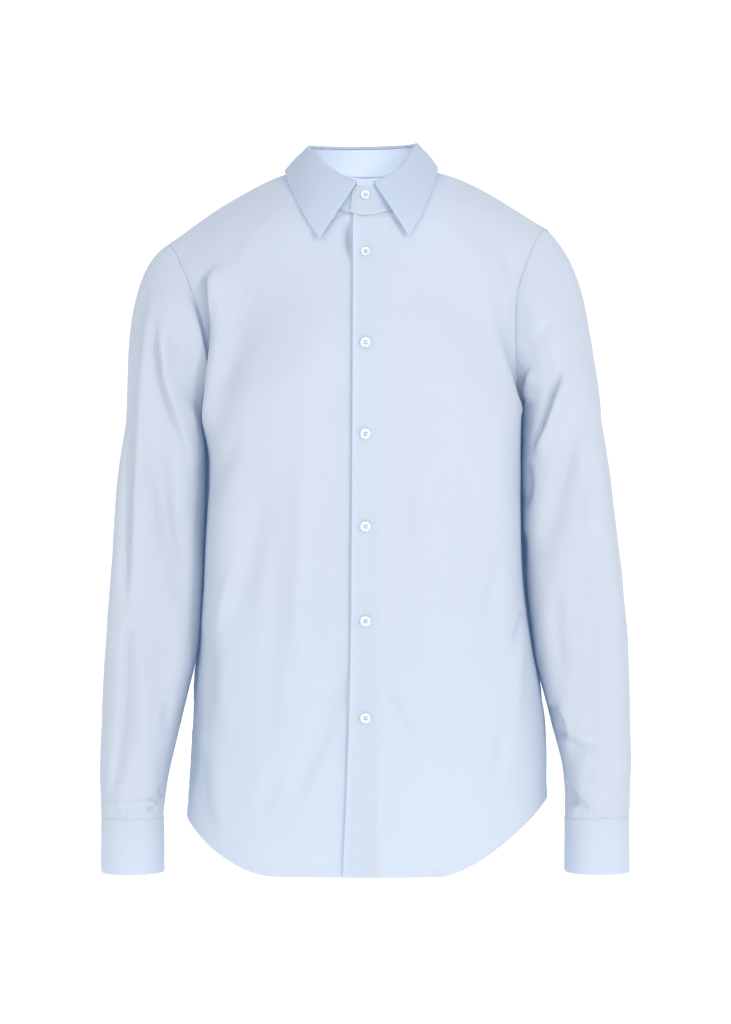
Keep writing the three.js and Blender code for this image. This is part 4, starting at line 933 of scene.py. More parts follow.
def ring_points(side, a, b, grow=0.0):
    ring = sleeve_ring[side]
    angle = a * 2 * np.pi
    turn = np.radians(ring["turn"](b))
    power = ring["power"](b)
    square = (np.abs(np.cos(angle)) ** power + np.abs(np.sin(angle)) ** power) ** (-1 / power)
    p = -(ring["wide"](b) + grow) * np.cos(angle) * square
    q = -(ring["deep"](b) + grow) * np.sin(angle) * square
    x = ring["x"](b) + p * np.cos(turn) - q * np.sin(turn)
    y = ring["y"](b) + p * np.sin(turn) + q * np.cos(turn)
    return np.stack([x, y, ring["z"](b) + 0 * x], -1)


def cap_points(side, a, t):
    over = (1 - np.cos(a * 2 * np.pi)) / 2
    out, down, swell = CAP[side]
    sideways = -CAP_SPREAD * np.sin(a * 2 * np.pi)
    away = np.stack([mix(UNDER_CAP_OUT, out, over), sideways, -mix(UNDER_CAP_DOWN, down, over)], -1)
    away = away / np.linalg.norm(away, axis=-1, keepdims=True)
    start = armhole[side](a) + away * ARMHOLE_CLEAR
    end = ring_points(side, a, AT_UPPER_ARM + 0 * a)
    reach = np.linalg.norm(end - start, axis=-1, keepdims=True)
    t = t[..., None]
    t2, t3 = t * t, t * t * t
    down_arm = np.array([ARM_LEAN, 0, -1])
    points = start * (2 * t3 - 3 * t2 + 1) + away * (t3 - 2 * t2 + t) * reach * swell
    return points + end * (3 * t2 - 2 * t3) + down_arm * (t3 - t2) * reach * swell


def sleeve_form(side):
    def form(a, b):
        cap = cap_points(side, a, np.clip(b / AT_UPPER_ARM, 0, 1))
        ring = ring_points(side, a, np.maximum(b, AT_UPPER_ARM))
        points = np.where((b < AT_UPPER_ARM)[..., None], cap, ring)
        flat = rising(b, 0, SLEEVE_FADE_CAP) * rising(1 - b, 0, SLEEVE_FADE_CUFF)
        height = ridge_height(SLEEVE_FOLDS[side], a - np.floor(a), b, SLEEVE_AROUND, SLEEVE_LENGTH) * flat
        points[..., 0] -= height * np.cos(a * 2 * np.pi)
        points[..., 1] -= height * np.sin(a * 2 * np.pi)
        return mirrored(points, side)

    return form


SLEEVE_CREASES = {
    RIGHT: [
        # the turn of the sleeve along its outer side
        (((-235, -112), (-241, -180), (-247, -233), (-250, -286), (-252, -361), (-255, -414), (-257, -478)),
         5, 8, -3.6, 0.1, 0.15),
        (((-227, -122), (-233, -180), (-238, -243), (-242, -318), (-245, -393), (-247, -467)),
         8, 6, 3.4, 0.15, 0.3),
        (((-254, -470), (-255, -542), (-259, -595), (-267, -643), (-274, -675)), 14, 5, -4.0, 0.15, 0.2),
        # long creases from the armhole down the inner side
        (((-219, -152), (-216, -190), (-213, -222), (-204, -249), (-196, -275), (-188, -300), (-182, -322)),
         13, 4.5, 5.0, 0.2, 0.25),
        (((-225, -160), (-222, -200), (-217, -235), (-208, -262), (-199, -288)), 3.5, 10, -3.0, 0.25, 0.3),
        (((-227, -205), (-222, -265), (-216, -329), (-210, -382), (-198, -420), (-186, -462)),
         14, 9, -3.6, 0.25, 0.3),
        # the sleeve's own roll beside the armhole
        (((-190, -118), (-181, -146), (-174, -176), (-172, -205), (-173, -240), (-176, -280)),
         3.5, 12, 5.5, 0.25, 0.35),
        (((-212, -172), (-198, -192), (-184, -204)), 12, 9, -1.6, 0.5, 0.5),
        (((-198, -392), (-204, -430), (-192, -470)), 9, 9, -2.0, 0.4, 0.4),
        (((-210, -552), (-212, -606)), 7, 8, -2.0, 0.4, 0.4),
        (((-240, -500), (-236, -570), (-240, -640)), 12, 10, 2.4, 0.4, 0.4),
        # the fullness above the cuff
        (((-236, -669), (-228, -672), (-220, -677)), 3, 4, 2.6, 0.3, 0.3),
        (((-233, -676), (-224, -681)), 3, 3, -2.0, 0.3, 0.3),
        (((-270, -684), (-250, -686)), 4, 4, -2.0, 0.3, 0.3),
        (((-217, -652), (-218, -668)), 3, 3, -2.4, 0.3, 0.3),
    ],
    LEFT: [
        # long crease from the armhole down the inner side
        (((213, -200), (210, -222), (202, -244), (194, -270), (186, -288), (181, -308)),
         12, 4, 4.6, 0.3, 0.2),
        (((206, -210), (203, -226), (195, -248), (187, -274), (179, -296)), 3.5, 5, -3.4, 0.3, 0.2),
        (((176, -208), (172, -232), (175, -250)), 8, 3, 3.2, 0.3, 0.3),
        (((171, -214), (168, -232), (171, -248)), 3, 5, -2.6, 0.3, 0.3),
        (((173, -306), (174, -336), (170, -366)), 5, 5, -4.0, 0.3, 0.4),
        (((170, -380), (169, -408), (170, -436)), 4, 4, -4.0, 0.4, 0.4),
        (((200, -156), (188, -170), (178, -178)), 10, 8, -2.0, 0.4, 0.4),
        (((240, -140), (248, -230), (252, -340)), 14, 10, 2.0, 0.4, 0.5),
        (((228, -300), (232, -400), (228, -500)), 14, 14, -2.2, 0.4, 0.5),
        (((202, -420), (204, -500), (212, -560)), 12, 12, -2.6, 0.4, 0.4),
        # broken folds above the cuff
        (((198, -566), (207, -586), (211, -606)), 5, 9, -5.0, 0.2, 0.2),
        (((203, -562), (213, -584), (217, -606)), 8, 4, 3.0, 0.3, 0.3),
        (((214, -610), (229, -614), (250, -616)), 7, 14, -3.4, 0.25, 0.6),
        (((212, -598), (232, -602), (252, -604)), 9, 7, 2.0, 0.3, 0.6),
        (((246, -624), (238, -640), (224, -652)), 9, 7, -1.6, 0.5, 0.4),
        (((211, -648), (220, -664), (226, -678)), 5, 9, -4.6, 0.3, 0.3),
        (((262, -470), (254, -560), (258, -640)), 12, 12, 1.8, 0.4, 0.5),
    ],
}
SLEEVE_BACK_CREASES = {
    RIGHT: [
        (((-190, -170), (-204, -250), (-222, -330)), 10, 10, -2.4, 0.3, 0.5),
        (((-190, -300), (-208, -380), (-232, -440)), 9, 11, -2.8, 0.3, 0.5),
        (((-226, -400), (-236, -480), (-240, -560)), 12, 12, 1.8, 0.4, 0.5),
        (((-214, -520), (-232, -580), (-256, -620)), 9, 9, -2.0, 0.3, 0.5),
    ],
    LEFT: [
        (((184, -160), (200, -240), (220, -320)), 10, 10, -2.4, 0.3, 0.5),
        (((184, -300), (204, -370), (230, -430)), 11, 9, -2.8, 0.3, 0.5),
        (((222, -390), (232, -470), (238, -550)), 12, 12, 1.8, 0.4, 0.5),
        (((212, -530), (230, -580), (254, -616)), 9, 9, -2.0, 0.3, 0.5),
    ],
}
PLEATS, PLEAT_DEPTH, PLEAT_RUN = (0.90, 0.97), 2.6, 95
PLEAT_SOFT, PLEAT_SHARP = 9, 2.2  # how wide a pleat is on its open and on its folded hand
WRIST_SHARE = 0.72  # the sleeve's width at the cuff, as a share of its width further up
SLEEVE_UNEVEN, SLEEVE_ROUND = ((140, 70, 40), 2.6), 120
SLEEVE_CREASE_TOP, SLEEVE_CREASE_CUFF = (1, 9), (0, 10)
FACING_SHARP = 2.2  # how soon the front's creases end as the sleeve turns away
CUFF_PUCKER, CAP_PUCKER = (0.9, 16), 0.4
UNDER_SEAM_HALF, UNDER_SEAM_SOFT = 3.0, 2.4
SLEEVE_FRONT_STEPS, SLEEVE_BACK_STEPS, SLEEVE_STEP = 78, 46, 2.7

sleeves = {}
front_half = np.linspace(0, 0.5, SLEEVE_FRONT_STEPS, endpoint=False)
back_half = np.linspace(0.5, 1, SLEEVE_BACK_STEPS, endpoint=False)
sleeve_across, sleeve_along = np.concatenate([front_half, back_half]), places(640, SLEEVE_STEP)
for word, side in (("left", LEFT), ("right", RIGHT)):
    panel = Panel(sleeve_form(side), sleeve_across, sleeve_along, -side, looped=True)
    to_cuff = panel.v[-1:] - panel.v
    turn = 2 * np.pi * panel.A
    height = crease_height(panel.points, SLEEVE_CREASES[side]) * smooth(np.sin(turn) * FACING_SHARP)
    behind = smooth(-np.sin(turn) * FACING_SHARP)
    height = height + crease_height(panel.points, SLEEVE_BACK_CREASES[side]) * behind
    height = height * rising(panel.v, *SLEEVE_CREASE_TOP) * rising(to_cuff, *SLEEVE_CREASE_CUFF)
    height = height - side_ease(panel.points, smooth(2 * np.cos(turn)))
    uneven = waves(61 + side, SLEEVE_ROUND * np.cos(turn), panel.v, *SLEEVE_UNEVEN)
    height = height + uneven * rising(panel.v, *UNEVEN_OFF["side"])
    for at in PLEATS:
        off = ((panel.A - at + 0.5) % 1 - 0.5) * SLEEVE_AROUND * WRIST_SHARE
        step = np.exp(-(off / np.where(off > 0, PLEAT_SOFT, PLEAT_SHARP)) ** 2)
        height = height - PLEAT_DEPTH * step * falling(to_cuff, 2, PLEAT_RUN)
    ring_run = panel.A * SLEEVE_AROUND
    height = height + puckers(71 + side, ring_run, to_cuff, *CUFF_PUCKER)
    height = height - SEAM_GROOVE * SEAM_STEP * falling(panel.v, 0, FOLD_SOFT)
    height = height + puckers(81 + side, ring_run, panel.v, CAP_PUCKER)
    under_seam = np.abs((panel.A + 0.5) % 1 - 0.5) * SLEEVE_AROUND
    height = height + SEAM_STEP * falling(under_seam, UNDER_SEAM_HALF, UNDER_SEAM_SOFT)
    panel.raise_by(height)
    sleeve = panel.build(f"shirt_sleeve_{word}", poplin_blue)
    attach(sleeve, "root")
    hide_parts(f"sleeve_{word}")
    sleeves[side] = panel

CUFF_END = 0.79
PLACKET_RUN, PLACKET_POINT, PLACKET_HALF = 0.2, 0.03, 0.033
PLACKET_AT, PLACKET_FOOT = CUFF_END - 0.02, 0.985
PLACKET_LIFT, PLACKET_EDGE_DROP = 0.9, 0.25
FINE_EDGE = (0.4, 0.9, 1.6)


def placket_form(side):
    def form(a, b):
        from_middle = np.abs(2 * a - 1)
        top = 1 - PLACKET_RUN + PLACKET_POINT * from_middle
        around, down = PLACKET_AT + (a - 0.5) * 2 * PLACKET_HALF, mix(top, PLACKET_FOOT, b)
        return sleeves[side].at(around, down, PLACKET_LIFT - PLACKET_EDGE_DROP * (from_middle > 0.99))

    return form


for word, side in (("left", LEFT), ("right", RIGHT)):
    panel = Panel(placket_form(side), places(24, 1.5, FINE_EDGE), places(124, 3, FINE_EDGE), -side)
    placket = panel.build(f"sleeve_placket_strip_{word}", poplin_blue, 2.0)
    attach(placket, "root")
    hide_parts(f"sleeve_placket_{word}")

# ---------------------------------------------------------------- cuffs
# Barrel cuffs of two fused plies with rounded lower corners. The sleeve is set in between the plies, and the
# ends lap over behind the wrist.
CUFF_DEPTH, CUFF_AROUND, CUFF_SPREAD, CUFF_CORNER = 60, 245, 0.6, 9
CUFF_LAP, CUFF_LAP_STEP, CUFF_TOP = 0.085, 2.3, 0.6
CUFF_PLIES = 2.6
CUFF_EDGE = (0.45, 1.4, 0.25, 3.4, 1.6)  # drop and softness, then the swell's height, place and width
CUFF_UNEVEN, CUFF_UNEVEN_OFF = ((70, 40), 0.9), (0, 12)
FUSED_EDGE = (*FINE_EDGE, 2.4)
FUSED_SOFT = 0.0007
fused_poplin = poplin("poplin_blue_fused", POPLIN_COLOUR, POPLIN_LIGHT, FUSED_SOFT)
cuffs = {}


def quarter_round(distance, radius):
    """The height of a quarter circle over a distance from its foot, as a share of its radius."""
    return np.sqrt(1 - (1 - np.minimum(1, distance / radius)) ** 2)


def fused_edge(rim, drop, soft, swell, swell_at, swell_wide):
    """The edge of fused plies: rounded at the fold, and a little thicker over the turnings inside it."""
    return -drop * falling(rim, 0, soft) + swell * np.exp(-((rim - swell_at) / swell_wide) ** 2)


def cuff_form(side):
    def form(a, b):
        turned = a * (1 + CUFF_LAP)
        upper = smooth((turned - 1 + CUFF_LAP) / CUFF_LAP)
        grow = CUFF_LAP_STEP * upper + CUFF_SPREAD * b
        points = ring_points(side, CUFF_END - CUFF_LAP + turned, np.ones_like(a), grow)
        from_end = np.minimum(a, 1 - a) * CUFF_AROUND
        corner = CUFF_CORNER * (1 - quarter_round(from_end, CUFF_CORNER))
        points[..., 2] -= (CUFF_DEPTH - corner) * b - CUFF_TOP
        return mirrored(points, side)

    return form


for word, side in (("left", LEFT), ("right", RIGHT)):
    panel = Panel(cuff_form(side), places(CUFF_AROUND, 2.4), places(CUFF_DEPTH, 2.4, FUSED_EDGE), -side)
    rim = np.minimum(panel.b[:, None] * CUFF_DEPTH, (1 - panel.b[:, None]) * CUFF_DEPTH)
    uneven = waves(91 + side, panel.u, panel.v, *CUFF_UNEVEN) * rising(rim, *CUFF_UNEVEN_OFF)
    panel.raise_by(fused_edge(rim, *CUFF_EDGE) + uneven)
    cuff = panel.build(f"shirt_cuff_{word}", fused_poplin, CUFF_PLIES)
    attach(cuff, "root")
    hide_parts(f"cuff_{word}")
    cuffs[side] = panel

# ---------------------------------------------------------------- collar stand
# The band of two fused plies round the neck. Its rounded ends lap at the centre front, the wearer's left one
# on top, and a small button closes it.
STAND_LAP, STAND_ROUND, STAND_STEP, HALF_NECK, COLLAR_LEAN = 0.092, 11, 1.2, 190, 3
STAND_LEVEL_FROM, STAND_LEVEL_OVER, LEAN_OVER, STAND_END = 0.1, 0.25, 0.5, 0.55
STAND_PLIES = 2.4
stand_top = path_of(NECK, names=("topX", "topY", "topZ"))
TOP_SHIFT = table(
    "at left right", (-0.1, 0, 0), (0.3, 0, 0), (0.56, 0, -3.2), (0.66, 0, -2.6), (1.0, 2.4, 2.4),
)
top_shift = {LEFT: column(TOP_SHIFT, "left"), RIGHT: column(TOP_SHIFT, "right")}
STAND_SKIRT_DOWN, STAND_SKIRT_OUT = 1.3, 1.5  # its lower edge laps the neck edge of the panels below


def risen(side, at):
    return np.where(side == LEFT, top_shift[LEFT](at), top_shift[RIGHT](at))


def around_neck(w, start):
    side = np.where(w <= 0.5, LEFT, RIGHT)
    return side, start + (1 - start) * (1 - np.abs(w - 0.5) * 2)


def lap_step(side, at):
    return -side * STAND_STEP * falling(at, STAND_LEVEL_FROM, STAND_LEVEL_OVER)


def lean_of(side, at):
    return -side * COLLAR_LEAN * rising(at, 0, LEAN_OVER)


def stand_form(w, h):
    side, at = around_neck(w, -STAND_LAP)
    from_end = (at + STAND_LAP) * HALF_NECK
    tall = h * mix(STAND_END, 1, quarter_round(from_end, STAND_ROUND))
    points = mix(neck_seam(at), stand_top(at), tall[..., None])
    points[..., 1] += lap_step(side, at)
    points[..., 0] += lean_of(side, at) * h
    points[..., 2] += risen(side, at) * h - STAND_SKIRT_DOWN * falling(h, 0, 0.3)
    points[..., 0] *= side
    return points


STAND_LIFT, STAND_EDGE_DROP = 0.4, 0.3
STAND_UNEVEN, STAND_UNEVEN_OFF = ((60, 35), 0.5), (0, 10)
STAND_LAPPED, STAND_LAPPED_OVER = 50, 30  # its front part, where other plies lie behind it and the painted bluer tone of the light they stop goes
stand = Panel(stand_form, places(415, 2.6), places(34, 2.0, FUSED_EDGE), 1)
rim = np.minimum(stand.v, stand.v[-1:] - stand.v)
skirt = STAND_SKIRT_OUT * falling(stand.v, 0, 12)
uneven = waves(101, stand.u, stand.v, *STAND_UNEVEN) * rising(rim, *STAND_UNEVEN_OFF)
stand.raise_by(STAND_LIFT + skirt - STAND_EDGE_DROP * falling(rim, 0, FOLD_SOFT) + uneven)
stand_piece = stand.build("shirt_collar_stand", fused_poplin, STAND_PLIES)
mark_folded(stand_piece, rising(-stand.points[..., 1], STAND_LAPPED, STAND_LAPPED_OVER))
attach(stand_piece, "root")
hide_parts("collar_stand")

# ---------------------------------------------------------------- collar
# The point collar: two fused plies that rise from the top of the stand, roll over and lie down on the fronts.
# It is turned out, pressed flat at its edges and stitched a little inside them.
COLLAR_START = 0.055
COLLAR_EDGE = {
    LEFT: table(
        "at x y z", (COLLAR_START, 45.5, -105, -73), (0.22, 61, -91.5, -46), (0.42, 74, -54, -12),
        (0.58, 78, -14, 7), (0.8, 64, 54, -2), (1.0, 0, 82, -10), (1.2, -64, 54, -2),
    ),
    RIGHT: table(
        "at x y z", (COLLAR_START, 48.5, -101.5, -76), (0.22, 67, -88, -46), (0.42, 82, -50.5, -14),
        (0.58, 87, -12, 4), (0.8, 67, 54, -3), (1.0, 0, 82, -10), (1.2, -67, 54, -3),
    ),
}
collar_edge = {side: path_of(rows) for side, rows in COLLAR_EDGE.items()}
ROLL = table(
    "at up out down", (0.0, 0.8, 0.0, 0.0), (0.14, 3.4, 1.9, 0.0), (0.28, 1.8, 4.6, 0.05),
    (0.62, 0.5, 4.2, 0.5), (1.0, 0.0, 0.0, 1.0),
)
roll = {name: column(ROLL, name) for name in ROLL}
COLLAR_PLIES = 2.6
# painted shade: the collar gets a darker copy of the poplin, standing in for the light its fused plies stop
# and the shade on its leaves
COLLAR_SHADED_COLOUR, COLLAR_SHADED_LIGHT = (0.645, 0.69, 0.765), (0.675, 0.72, 0.795)
COLLAR_RIM = (0.4, 1.5, 0.2, 3.2, 1.5)
shaded_collar_poplin = poplin("poplin_blue_collar_shaded", COLLAR_SHADED_COLOUR, COLLAR_SHADED_LIGHT, FUSED_SOFT)


def collar_form(w, h):
    side, at = around_neck(w, COLLAR_START)
    nudge = 0.02
    along = stand_top(at + nudge) - stand_top(at - nudge)
    away = np.stack([along[..., 1], -along[..., 0], 0 * at], -1)
    away = away / np.linalg.norm(away, axis=-1, keepdims=True)
    edge = np.where((side == LEFT)[..., None], collar_edge[LEFT](at), collar_edge[RIGHT](at))
    down = roll["down"](h)
    points = mix(stand_top(at), edge, down[..., None]) + away * roll["out"](h)[..., None]
    points[..., 2] += roll["up"](h) + risen(side, at) * (1 - down)
    points[..., 1] += lap_step(side, at) * (1 - down)
    points[..., 0] += lean_of(side, at) * (1 - down)
    points[..., 0] *= side
    return points


collar = Panel(collar_form, places(420, 2.4, (*FUSED_EDGE, 4.0)), places(70, 1.8, FUSED_EDGE), -1)
ends = np.minimum(collar.u, collar.u[:, -1:] - collar.u)
rim = np.minimum(ends, collar.v[-1:] - collar.v)
collar.raise_by(fused_edge(rim, *COLLAR_RIM))
collar_piece = collar.build("shirt_collar", shaded_collar_poplin, COLLAR_PLIES)
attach(collar_piece, "root")
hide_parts("collar")

# ---------------------------------------------------------------- buttons
# Four-hole resin buttons with a raised rim, turned from rod and polished. The collar's and the one below it
# are smaller. Each is sewn on with two bars of thread.
LARGE, SMALL = (5.7, 0.85, 1.65), (4.9, 0.75, 1.4)  # radius, and a hole's radius and place from the centre
BUTTON_THICK, BUTTON_RIM, BUTTON_HOLLOW, BUTTON_GAP, BUTTON_SIDES = 2.4, 1.2, 0.7, 0.2, 40
BUTTON_HOLES, DRILL_FROM, DRILL_TO, DRILL_SIDES = 4, -3, 6, 14
BUTTON_CREASE = 34  # degrees between two facets that still look round
BAR_UNDER, BAR_OVER, BAR_TOP = 0.9, 0.1, 0.22  # a bar's ends go down the holes, and its middle lies on top
RESIN_COLOURS = [(0.35, (0.6, 0.66, 0.73)), (0.65, (0.72, 0.77, 0.83))]
THREAD_COLOURS = [(0.3, (0.56, 0.62, 0.72)), (0.7, (0.66, 0.72, 0.8))]


def flecked(name, scale, detail, colours, rough, rough_fleck):
    """A material with faint flecks between two colours."""
    material, tree, shader = new_material(name)
    fleck = noise(tree, object_place(tree), scale, detail)
    ramp(tree, fleck, colours).into(shader, "Base Color")
    roughness = fleck * rough_fleck + rough
    roughness.into(shader, "Roughness")
    return material, shader


button_resin, shader = flecked("button_resin", 420.0, 3.0, RESIN_COLOURS, 0.2, 0.14)
shader.inputs["Coat Weight"].default_value = 0.4
shader.inputs["Coat Roughness"].default_value = 0.12
thread_cotton = flecked("thread_cotton", 900.0, 1.0, THREAD_COLOURS, 0.7, 0.1)[0]


def made_from(name, corners, faces, material):
    mesh = bpy.data.meshes.new(name)
    mesh.from_pydata((np.asarray(corners) / 1000).tolist(), [], faces)
    mesh.materials.append(material)
    return new_object(name, mesh)


def evaluated_mesh(worker):
    bpy.context.view_layer.update()
    depsgraph = bpy.context.evaluated_depsgraph_get()
    return bpy.data.meshes.new_from_object(worker.evaluated_get(depsgraph))


def turned_solid(profile, sides):
    """A closed solid of revolution: its profile runs from its axis at the back to its axis at the front."""
    angles = np.arange(sides) * 2 * np.pi / sides
    corners = [(0, 0, profile[0][1])]
    for r, z in profile[1:-1]:
        corners += [(r * np.cos(angle), r * np.sin(angle), z) for angle in angles]
    corners.append((0, 0, profile[-1][1]))
    rings = len(profile) - 2
    faces = []
    for k in range(sides):
        after = (k + 1) % sides
        faces.append((0, 1 + after, 1 + k))
        for ring in range(rings - 1):
            low = 1 + ring * sides
            faces.append((low + k, low + after, low + sides + after, low + sides + k))
        last = 1 + (rings - 1) * sides
        faces.append((last + k, last + after, len(corners) - 1))
    return corners, faces


def button_outline(radius):
    thick, face = BUTTON_THICK, BUTTON_THICK - BUTTON_HOLLOW
    return [
        (0, 0), (radius * 0.7, 0.05), (radius * 0.86, 0.3), (radius * 0.96, 0.8), (radius, 1.3),
        (radius * 0.985, 1.8), (radius * 0.94, thick - 0.2), (radius * 0.88, thick),
        (radius - BUTTON_RIM, thick - 0.12), (radius - BUTTON_RIM * 1.35, thick - 0.42),
        (radius - BUTTON_RIM * 1.75, face), (0, face),
    ]


def near(panel, place):
    """The panel's nearest place to a point, its way out, and its two ways along the cloth there."""
    nearest = np.argmin(np.linalg.norm(panel.points - place, axis=-1))
    row, line = np.unravel_index(nearest, panel.A.shape)
    way = panel.normals[row, line]
    off = place - panel.points[row, line]
    up = np.array([0, 0, 1]) - way * way[2]
    up = up / np.linalg.norm(up)
    return place - way * (off @ way) + way * FABRIC / 2, way, up, np.cross(up, way)


def button_on(name, node, panel, size):
    radius, hole, ring = size
    low_corner, high_corner = (np.array(corner) * 1000 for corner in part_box(node))
    seat, way, up, across = near(panel, (low_corner + high_corner) / 2)
    frame_of = np.array([across, up, way])

    def placed(corners):
        return seat + way * BUTTON_GAP + np.asarray(corners, float) @ frame_of

    corners, faces = turned_solid(button_outline(radius), BUTTON_SIDES)
    button = made_from(name, placed(corners), faces, button_resin)
    drill_outline = [(0, DRILL_FROM), (hole, DRILL_FROM), (hole, DRILL_TO), (0, DRILL_TO)]
    drills = []
    for k in range(BUTTON_HOLES):
        turn = (k + 0.5) * 2 * np.pi / BUTTON_HOLES
        centre = np.array([ring * np.cos(turn), ring * np.sin(turn), 0])
        corners, faces = turned_solid(drill_outline, DRILL_SIDES)
        drills.append(made_from(f"{name}_hole_{k}", placed(np.array(corners) + centre), faces, button_resin))
    for drill in drills:
        cut = button.modifiers.new("hole", "BOOLEAN")
        cut.operation, cut.solver, cut.object = "DIFFERENCE", "EXACT", drill
    drilled = evaluated_mesh(button)
    button.modifiers.clear()
    button.data = drilled
    shade_smooth(drilled)
    drilled.set_sharp_from_angle(angle=math.radians(BUTTON_CREASE))
    for drill in drills:
        bpy.data.objects.remove(drill)
    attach(button, "root")
    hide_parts(node)
    step = ring * math.sqrt(0.5)
    face = BUTTON_THICK - BUTTON_HOLLOW
    half_bar = [(-step, face - BAR_UNDER), (-step * 0.9, face + BAR_OVER)]
    rise = [*half_bar, (0, face + BAR_TOP), *[(-y, z) for y, z in half_bar[::-1]]]
    bars = [(placed([(x, y, z) for y, z in rise]), way) for x in (-step, step)]
    return bars, (seat, way, up, across)


button_seats, button_bars = {}, []
for node, panel, size in (
    ("button_collar", stand, SMALL), ("button_1", fronts[LEFT], SMALL),
    *[(f"button_{k}", fronts[LEFT], LARGE) for k in range(2, 7)],
    ("button_cuff_left", cuffs[LEFT], LARGE), ("button_cuff_right", cuffs[RIGHT], LARGE),
):
    bars, button_seats[node] = button_on(f"shirt_{node}", node, panel, size)
    button_bars += bars

# ---------------------------------------------------------------- stitching
# Lockstitch in cotton thread of the same blue: beside every seam, round the collar and cuffs, and along the
# hem. The buttonholes are worked over closely, and two bars of thread hold each button.
STITCH_PITCH, STITCH_LONG, THREAD_WIDE = 2.9, 2.3, 0.34
HOLE_PITCH, HOLE_STITCH_LONG, HOLE_THREAD, HOLE_LONG, HOLE_HALF = 0.5, 1.5, 0.4, 15, 0.85
BAR_PITCH, BAR_STITCH_LONG, BAR_THREAD = 0.5, 0.9, 0.5
THREAD_LIFT = 0.04

stitching = bpy.data.node_groups.new("stitches", "GeometryNodeTree")
stitching.interface.new_socket("Rows", in_out="INPUT", socket_type="NodeSocketGeometry")
stitching.interface.new_socket("Stitches", in_out="OUTPUT", socket_type="NodeSocketGeometry")
asked = {}
for name, usual in (("Pitch", STITCH_PITCH), ("Stitch length", STITCH_LONG), ("Thread width", THREAD_WIDE)):
    asked[name] = stitching.interface.new_socket(name, in_out="INPUT", socket_type="NodeSocketFloat")
    asked[name].default_value = usual / 1000
asked["Thread"] = stitching.interface.new_socket("Thread", in_out="INPUT", socket_type="NodeSocketMaterial")
given = {output.name: Socket(stitching, output) for output in stitching.nodes.new("NodeGroupInput").outputs}


def named_way(name):
    kind = {"data_type": "FLOAT_VECTOR"}
    return make_node(stitching, "GeometryNodeInputNamedAttribute", kind, {"Name": name})[0]


curve = make_node(stitching, "GeometryNodeMeshToCurve", {}, {"Mesh": given["Rows"]})[0]
spaced = make_node(
    stitching, "GeometryNodeResampleCurve", {"mode": "LENGTH"}, {"Curve": curve, "Length": given["Pitch"]}
)[0]
turned = make_node(
    stitching, "FunctionNodeAxesToRotation", {"primary_axis": "Z", "secondary_axis": "X"},
    {"Primary Axis": named_way("lie"), "Secondary Axis": named_way("out")},
)[0]
ball = make_node(stitching, "GeometryNodeMeshUVSphere", {}, {"Segments": 6, "Rings": 4, "Radius": 0.5})[0]
long_shape = make_node(
    stitching, "ShaderNodeCombineXYZ", {},
    {"X": given["Thread width"], "Y": given["Thread width"], "Z": given["Stitch length"]},
)[0]
stitch = make_node(stitching, "GeometryNodeTransform", {}, {"Geometry": ball, "Scale": long_shape})[0]
row_of = make_node(
    stitching, "GeometryNodeInstanceOnPoints", {}, {"Points": spaced, "Instance": stitch, "Rotation": turned}
)[0]
real = make_node(stitching, "GeometryNodeRealizeInstances", {}, {"Geometry": row_of})[0]
dressed = make_node(
    stitching, "GeometryNodeSetMaterial", {}, {"Geometry": real, "Material": given["Thread"]}
)[0]
stitching.links.new(dressed.socket, stitching.nodes.new("NodeGroupOutput").inputs[0])


def seam_row(panel, edge, distance, span=(0, 1), trim=(0, 0)):
    """A row of stitches at a distance from one edge of a panel: its places, its ways along and its ways out.
    span is the share of the edge that it keeps, and trim what it leaves off its ends, in millimetres."""
    sideways = edge in ("low", "high")
    run, steps, along = (panel.v, panel.b, panel.a) if sideways else (panel.u.T, panel.a, panel.b)
    if edge in ("high", "far"):
        run, steps = (run[-1] - run)[::-1], steps[::-1]
    across = np.array([np.interp(distance, run[:, k], steps) for k in range(len(along))])
    kept = (along >= span[0]) & (along <= span[1])
    a, b = (along[kept], across[kept]) if sideways else (across[kept], along[kept])
    places_on = panel.at(a, b, THREAD_LIFT)
    out = panel.at(a, b, THREAD_LIFT + 1) - places_on
    ran = np.concatenate([[0], np.cumsum(np.linalg.norm(np.diff(places_on, axis=0), axis=1))])
    inside = (ran >= trim[0]) & (ran <= ran[-1] - trim[1])
    return places_on[inside], np.gradient(places_on, axis=0)[inside], out[inside]


def sew(name, rows, pitch=STITCH_PITCH, long=STITCH_LONG, wide=THREAD_WIDE):
    """Rows of stitches as one plain mesh."""
    path = bpy.data.meshes.new(name)
    ends = set(np.cumsum([len(row[0]) for row in rows]).tolist())
    corners = np.concatenate([row[0] for row in rows]) / 1000
    path.from_pydata(corners.tolist(), [(k, k + 1) for k in range(len(corners) - 1) if k + 1 not in ends], [])
    for k, way_name in ((1, "lie"), (2, "out")):
        ways = np.concatenate([np.broadcast_to(row[k], row[0].shape) for row in rows])
        attribute = path.attributes.new(way_name, "FLOAT_VECTOR", "POINT")
        attribute.data.foreach_set("vector", ways.astype(np.float32).ravel())
    worker = new_object(f"{name}_rows", path)
    modifier = worker.modifiers.new("stitches", "NODES")
    modifier.node_group = stitching
    for input_name, value in (("Pitch", pitch), ("Stitch length", long), ("Thread width", wide)):
        modifier[asked[input_name].identifier] = value / 1000
    modifier[asked["Thread"].identifier] = thread_cotton
    sewn = evaluated_mesh(worker)
    shade_smooth(sewn)
    piece = new_object(name, sewn)
    bpy.data.objects.remove(worker)
    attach(piece, "root")
    return piece


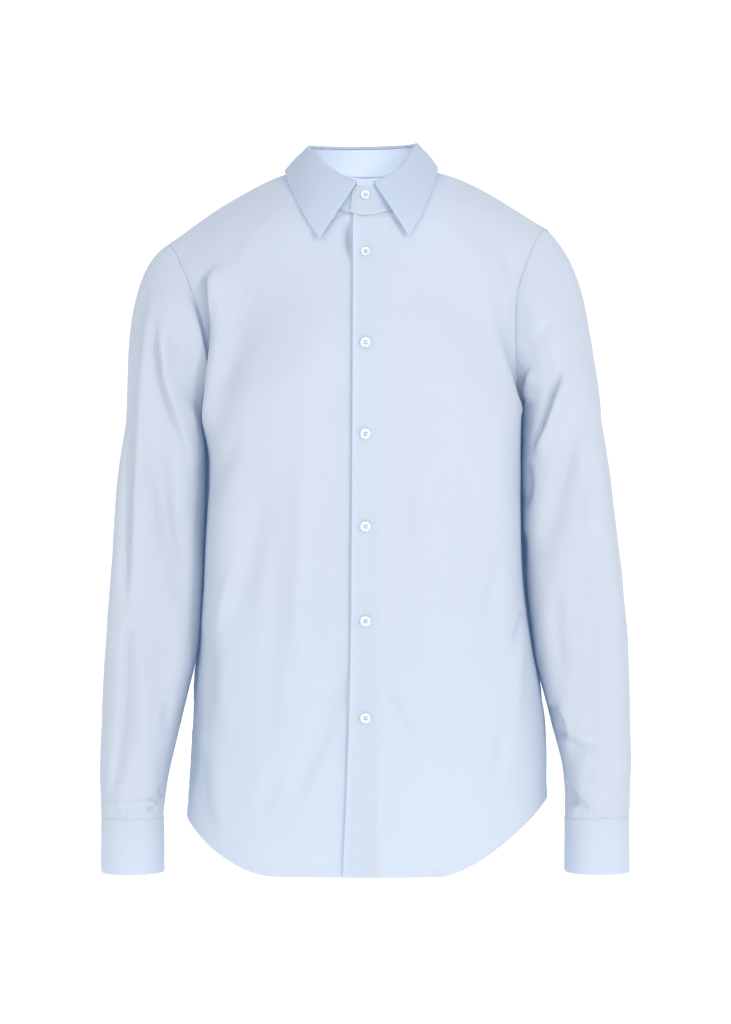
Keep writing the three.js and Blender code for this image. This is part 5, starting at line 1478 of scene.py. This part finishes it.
# How far each row of stitches stands off its edge, and the short share of an edge that it leaves off.
HEM_ROW, FELL_ROW, ARMHOLE_ROW, CAP_ROW, YOKE_ROW = HEM - 1, FELL - 0.8, 1.2, 2.6, 1.6
CUFF_ROW, STAND_ROW, COLLAR_ROW = 4.5, 1.8, 5
SEAM_END = 0.01
for word, side in (("left", LEFT), ("right", RIGHT)):
    front, sleeve, cuff = fronts[side], sleeves[side], cuffs[side]
    sew(f"stitches_front_{word}", [
        seam_row(front, "low", HEM_ROW),
        seam_row(front, "far", FELL_ROW, (SEAM_END, AT_UNDERARM - SEAM_END)),
        seam_row(front, "far", FELL_ROW, (AT_UNDERARM + SEAM_END, 1 - SEAM_END)),
        seam_row(front, "far", ARMHOLE_ROW, (AT_UNDERARM, 1 - SEAM_END)),
    ])
    sew(f"stitches_sleeve_{word}", [seam_row(sleeve, "near", CAP_ROW, (0.02, 0.98))])
    sew(f"stitches_cuff_{word}", [
        seam_row(cuff, edge, CUFF_ROW, trim=(CUFF_ROW, CUFF_ROW)) for edge in ("low", "high", "near", "far")
    ])
sides = [seam_row(back, edge, FELL_ROW, (BACK_UNDERARM + SEAM_END, 1 - SEAM_END)) for edge in ("near", "far")]
sew("stitches_back", [seam_row(back, "low", HEM_ROW), *sides])
front_seams = ((SEAM_END, 0.5 - NECK_SHARE / 2), (0.5 + NECK_SHARE / 2, 1 - SEAM_END))
sew("stitches_yoke", [
    seam_row(yoke, "low", YOKE_ROW), seam_row(yoke, "near", FELL_ROW), seam_row(yoke, "far", FELL_ROW),
    *[seam_row(yoke, "high", YOKE_ROW, span) for span in front_seams],
])
sew("stitches_collar_stand", [
    seam_row(stand, "low", STAND_ROW, trim=(6, 6)), seam_row(stand, "high", STAND_ROW, trim=(12, 12)),
])
sew("stitches_collar", [
    seam_row(collar, "high", COLLAR_ROW, trim=(5, 5)), seam_row(collar, "near", COLLAR_ROW, trim=(6, 5)),
    seam_row(collar, "far", COLLAR_ROW, trim=(6, 5)),
])
bar_rows = [(places_on, np.gradient(places_on, axis=0), way) for places_on, way in button_bars]
sew("threads_buttons", bar_rows, BAR_PITCH, BAR_STITCH_LONG, BAR_THREAD)

holes = []
for k in range(1, 7):
    seat, way, up, across = button_seats[f"button_{k}"]
    run = np.linspace(-HOLE_LONG / 2, HOLE_LONG / 2, 31)[:, None]
    for hand in (-1, 1):
        holes.append((seat + up * run + across * hand * HOLE_HALF, across, way))
sew("stitches_buttonholes", holes, HOLE_PITCH, HOLE_STITCH_LONG, HOLE_THREAD)
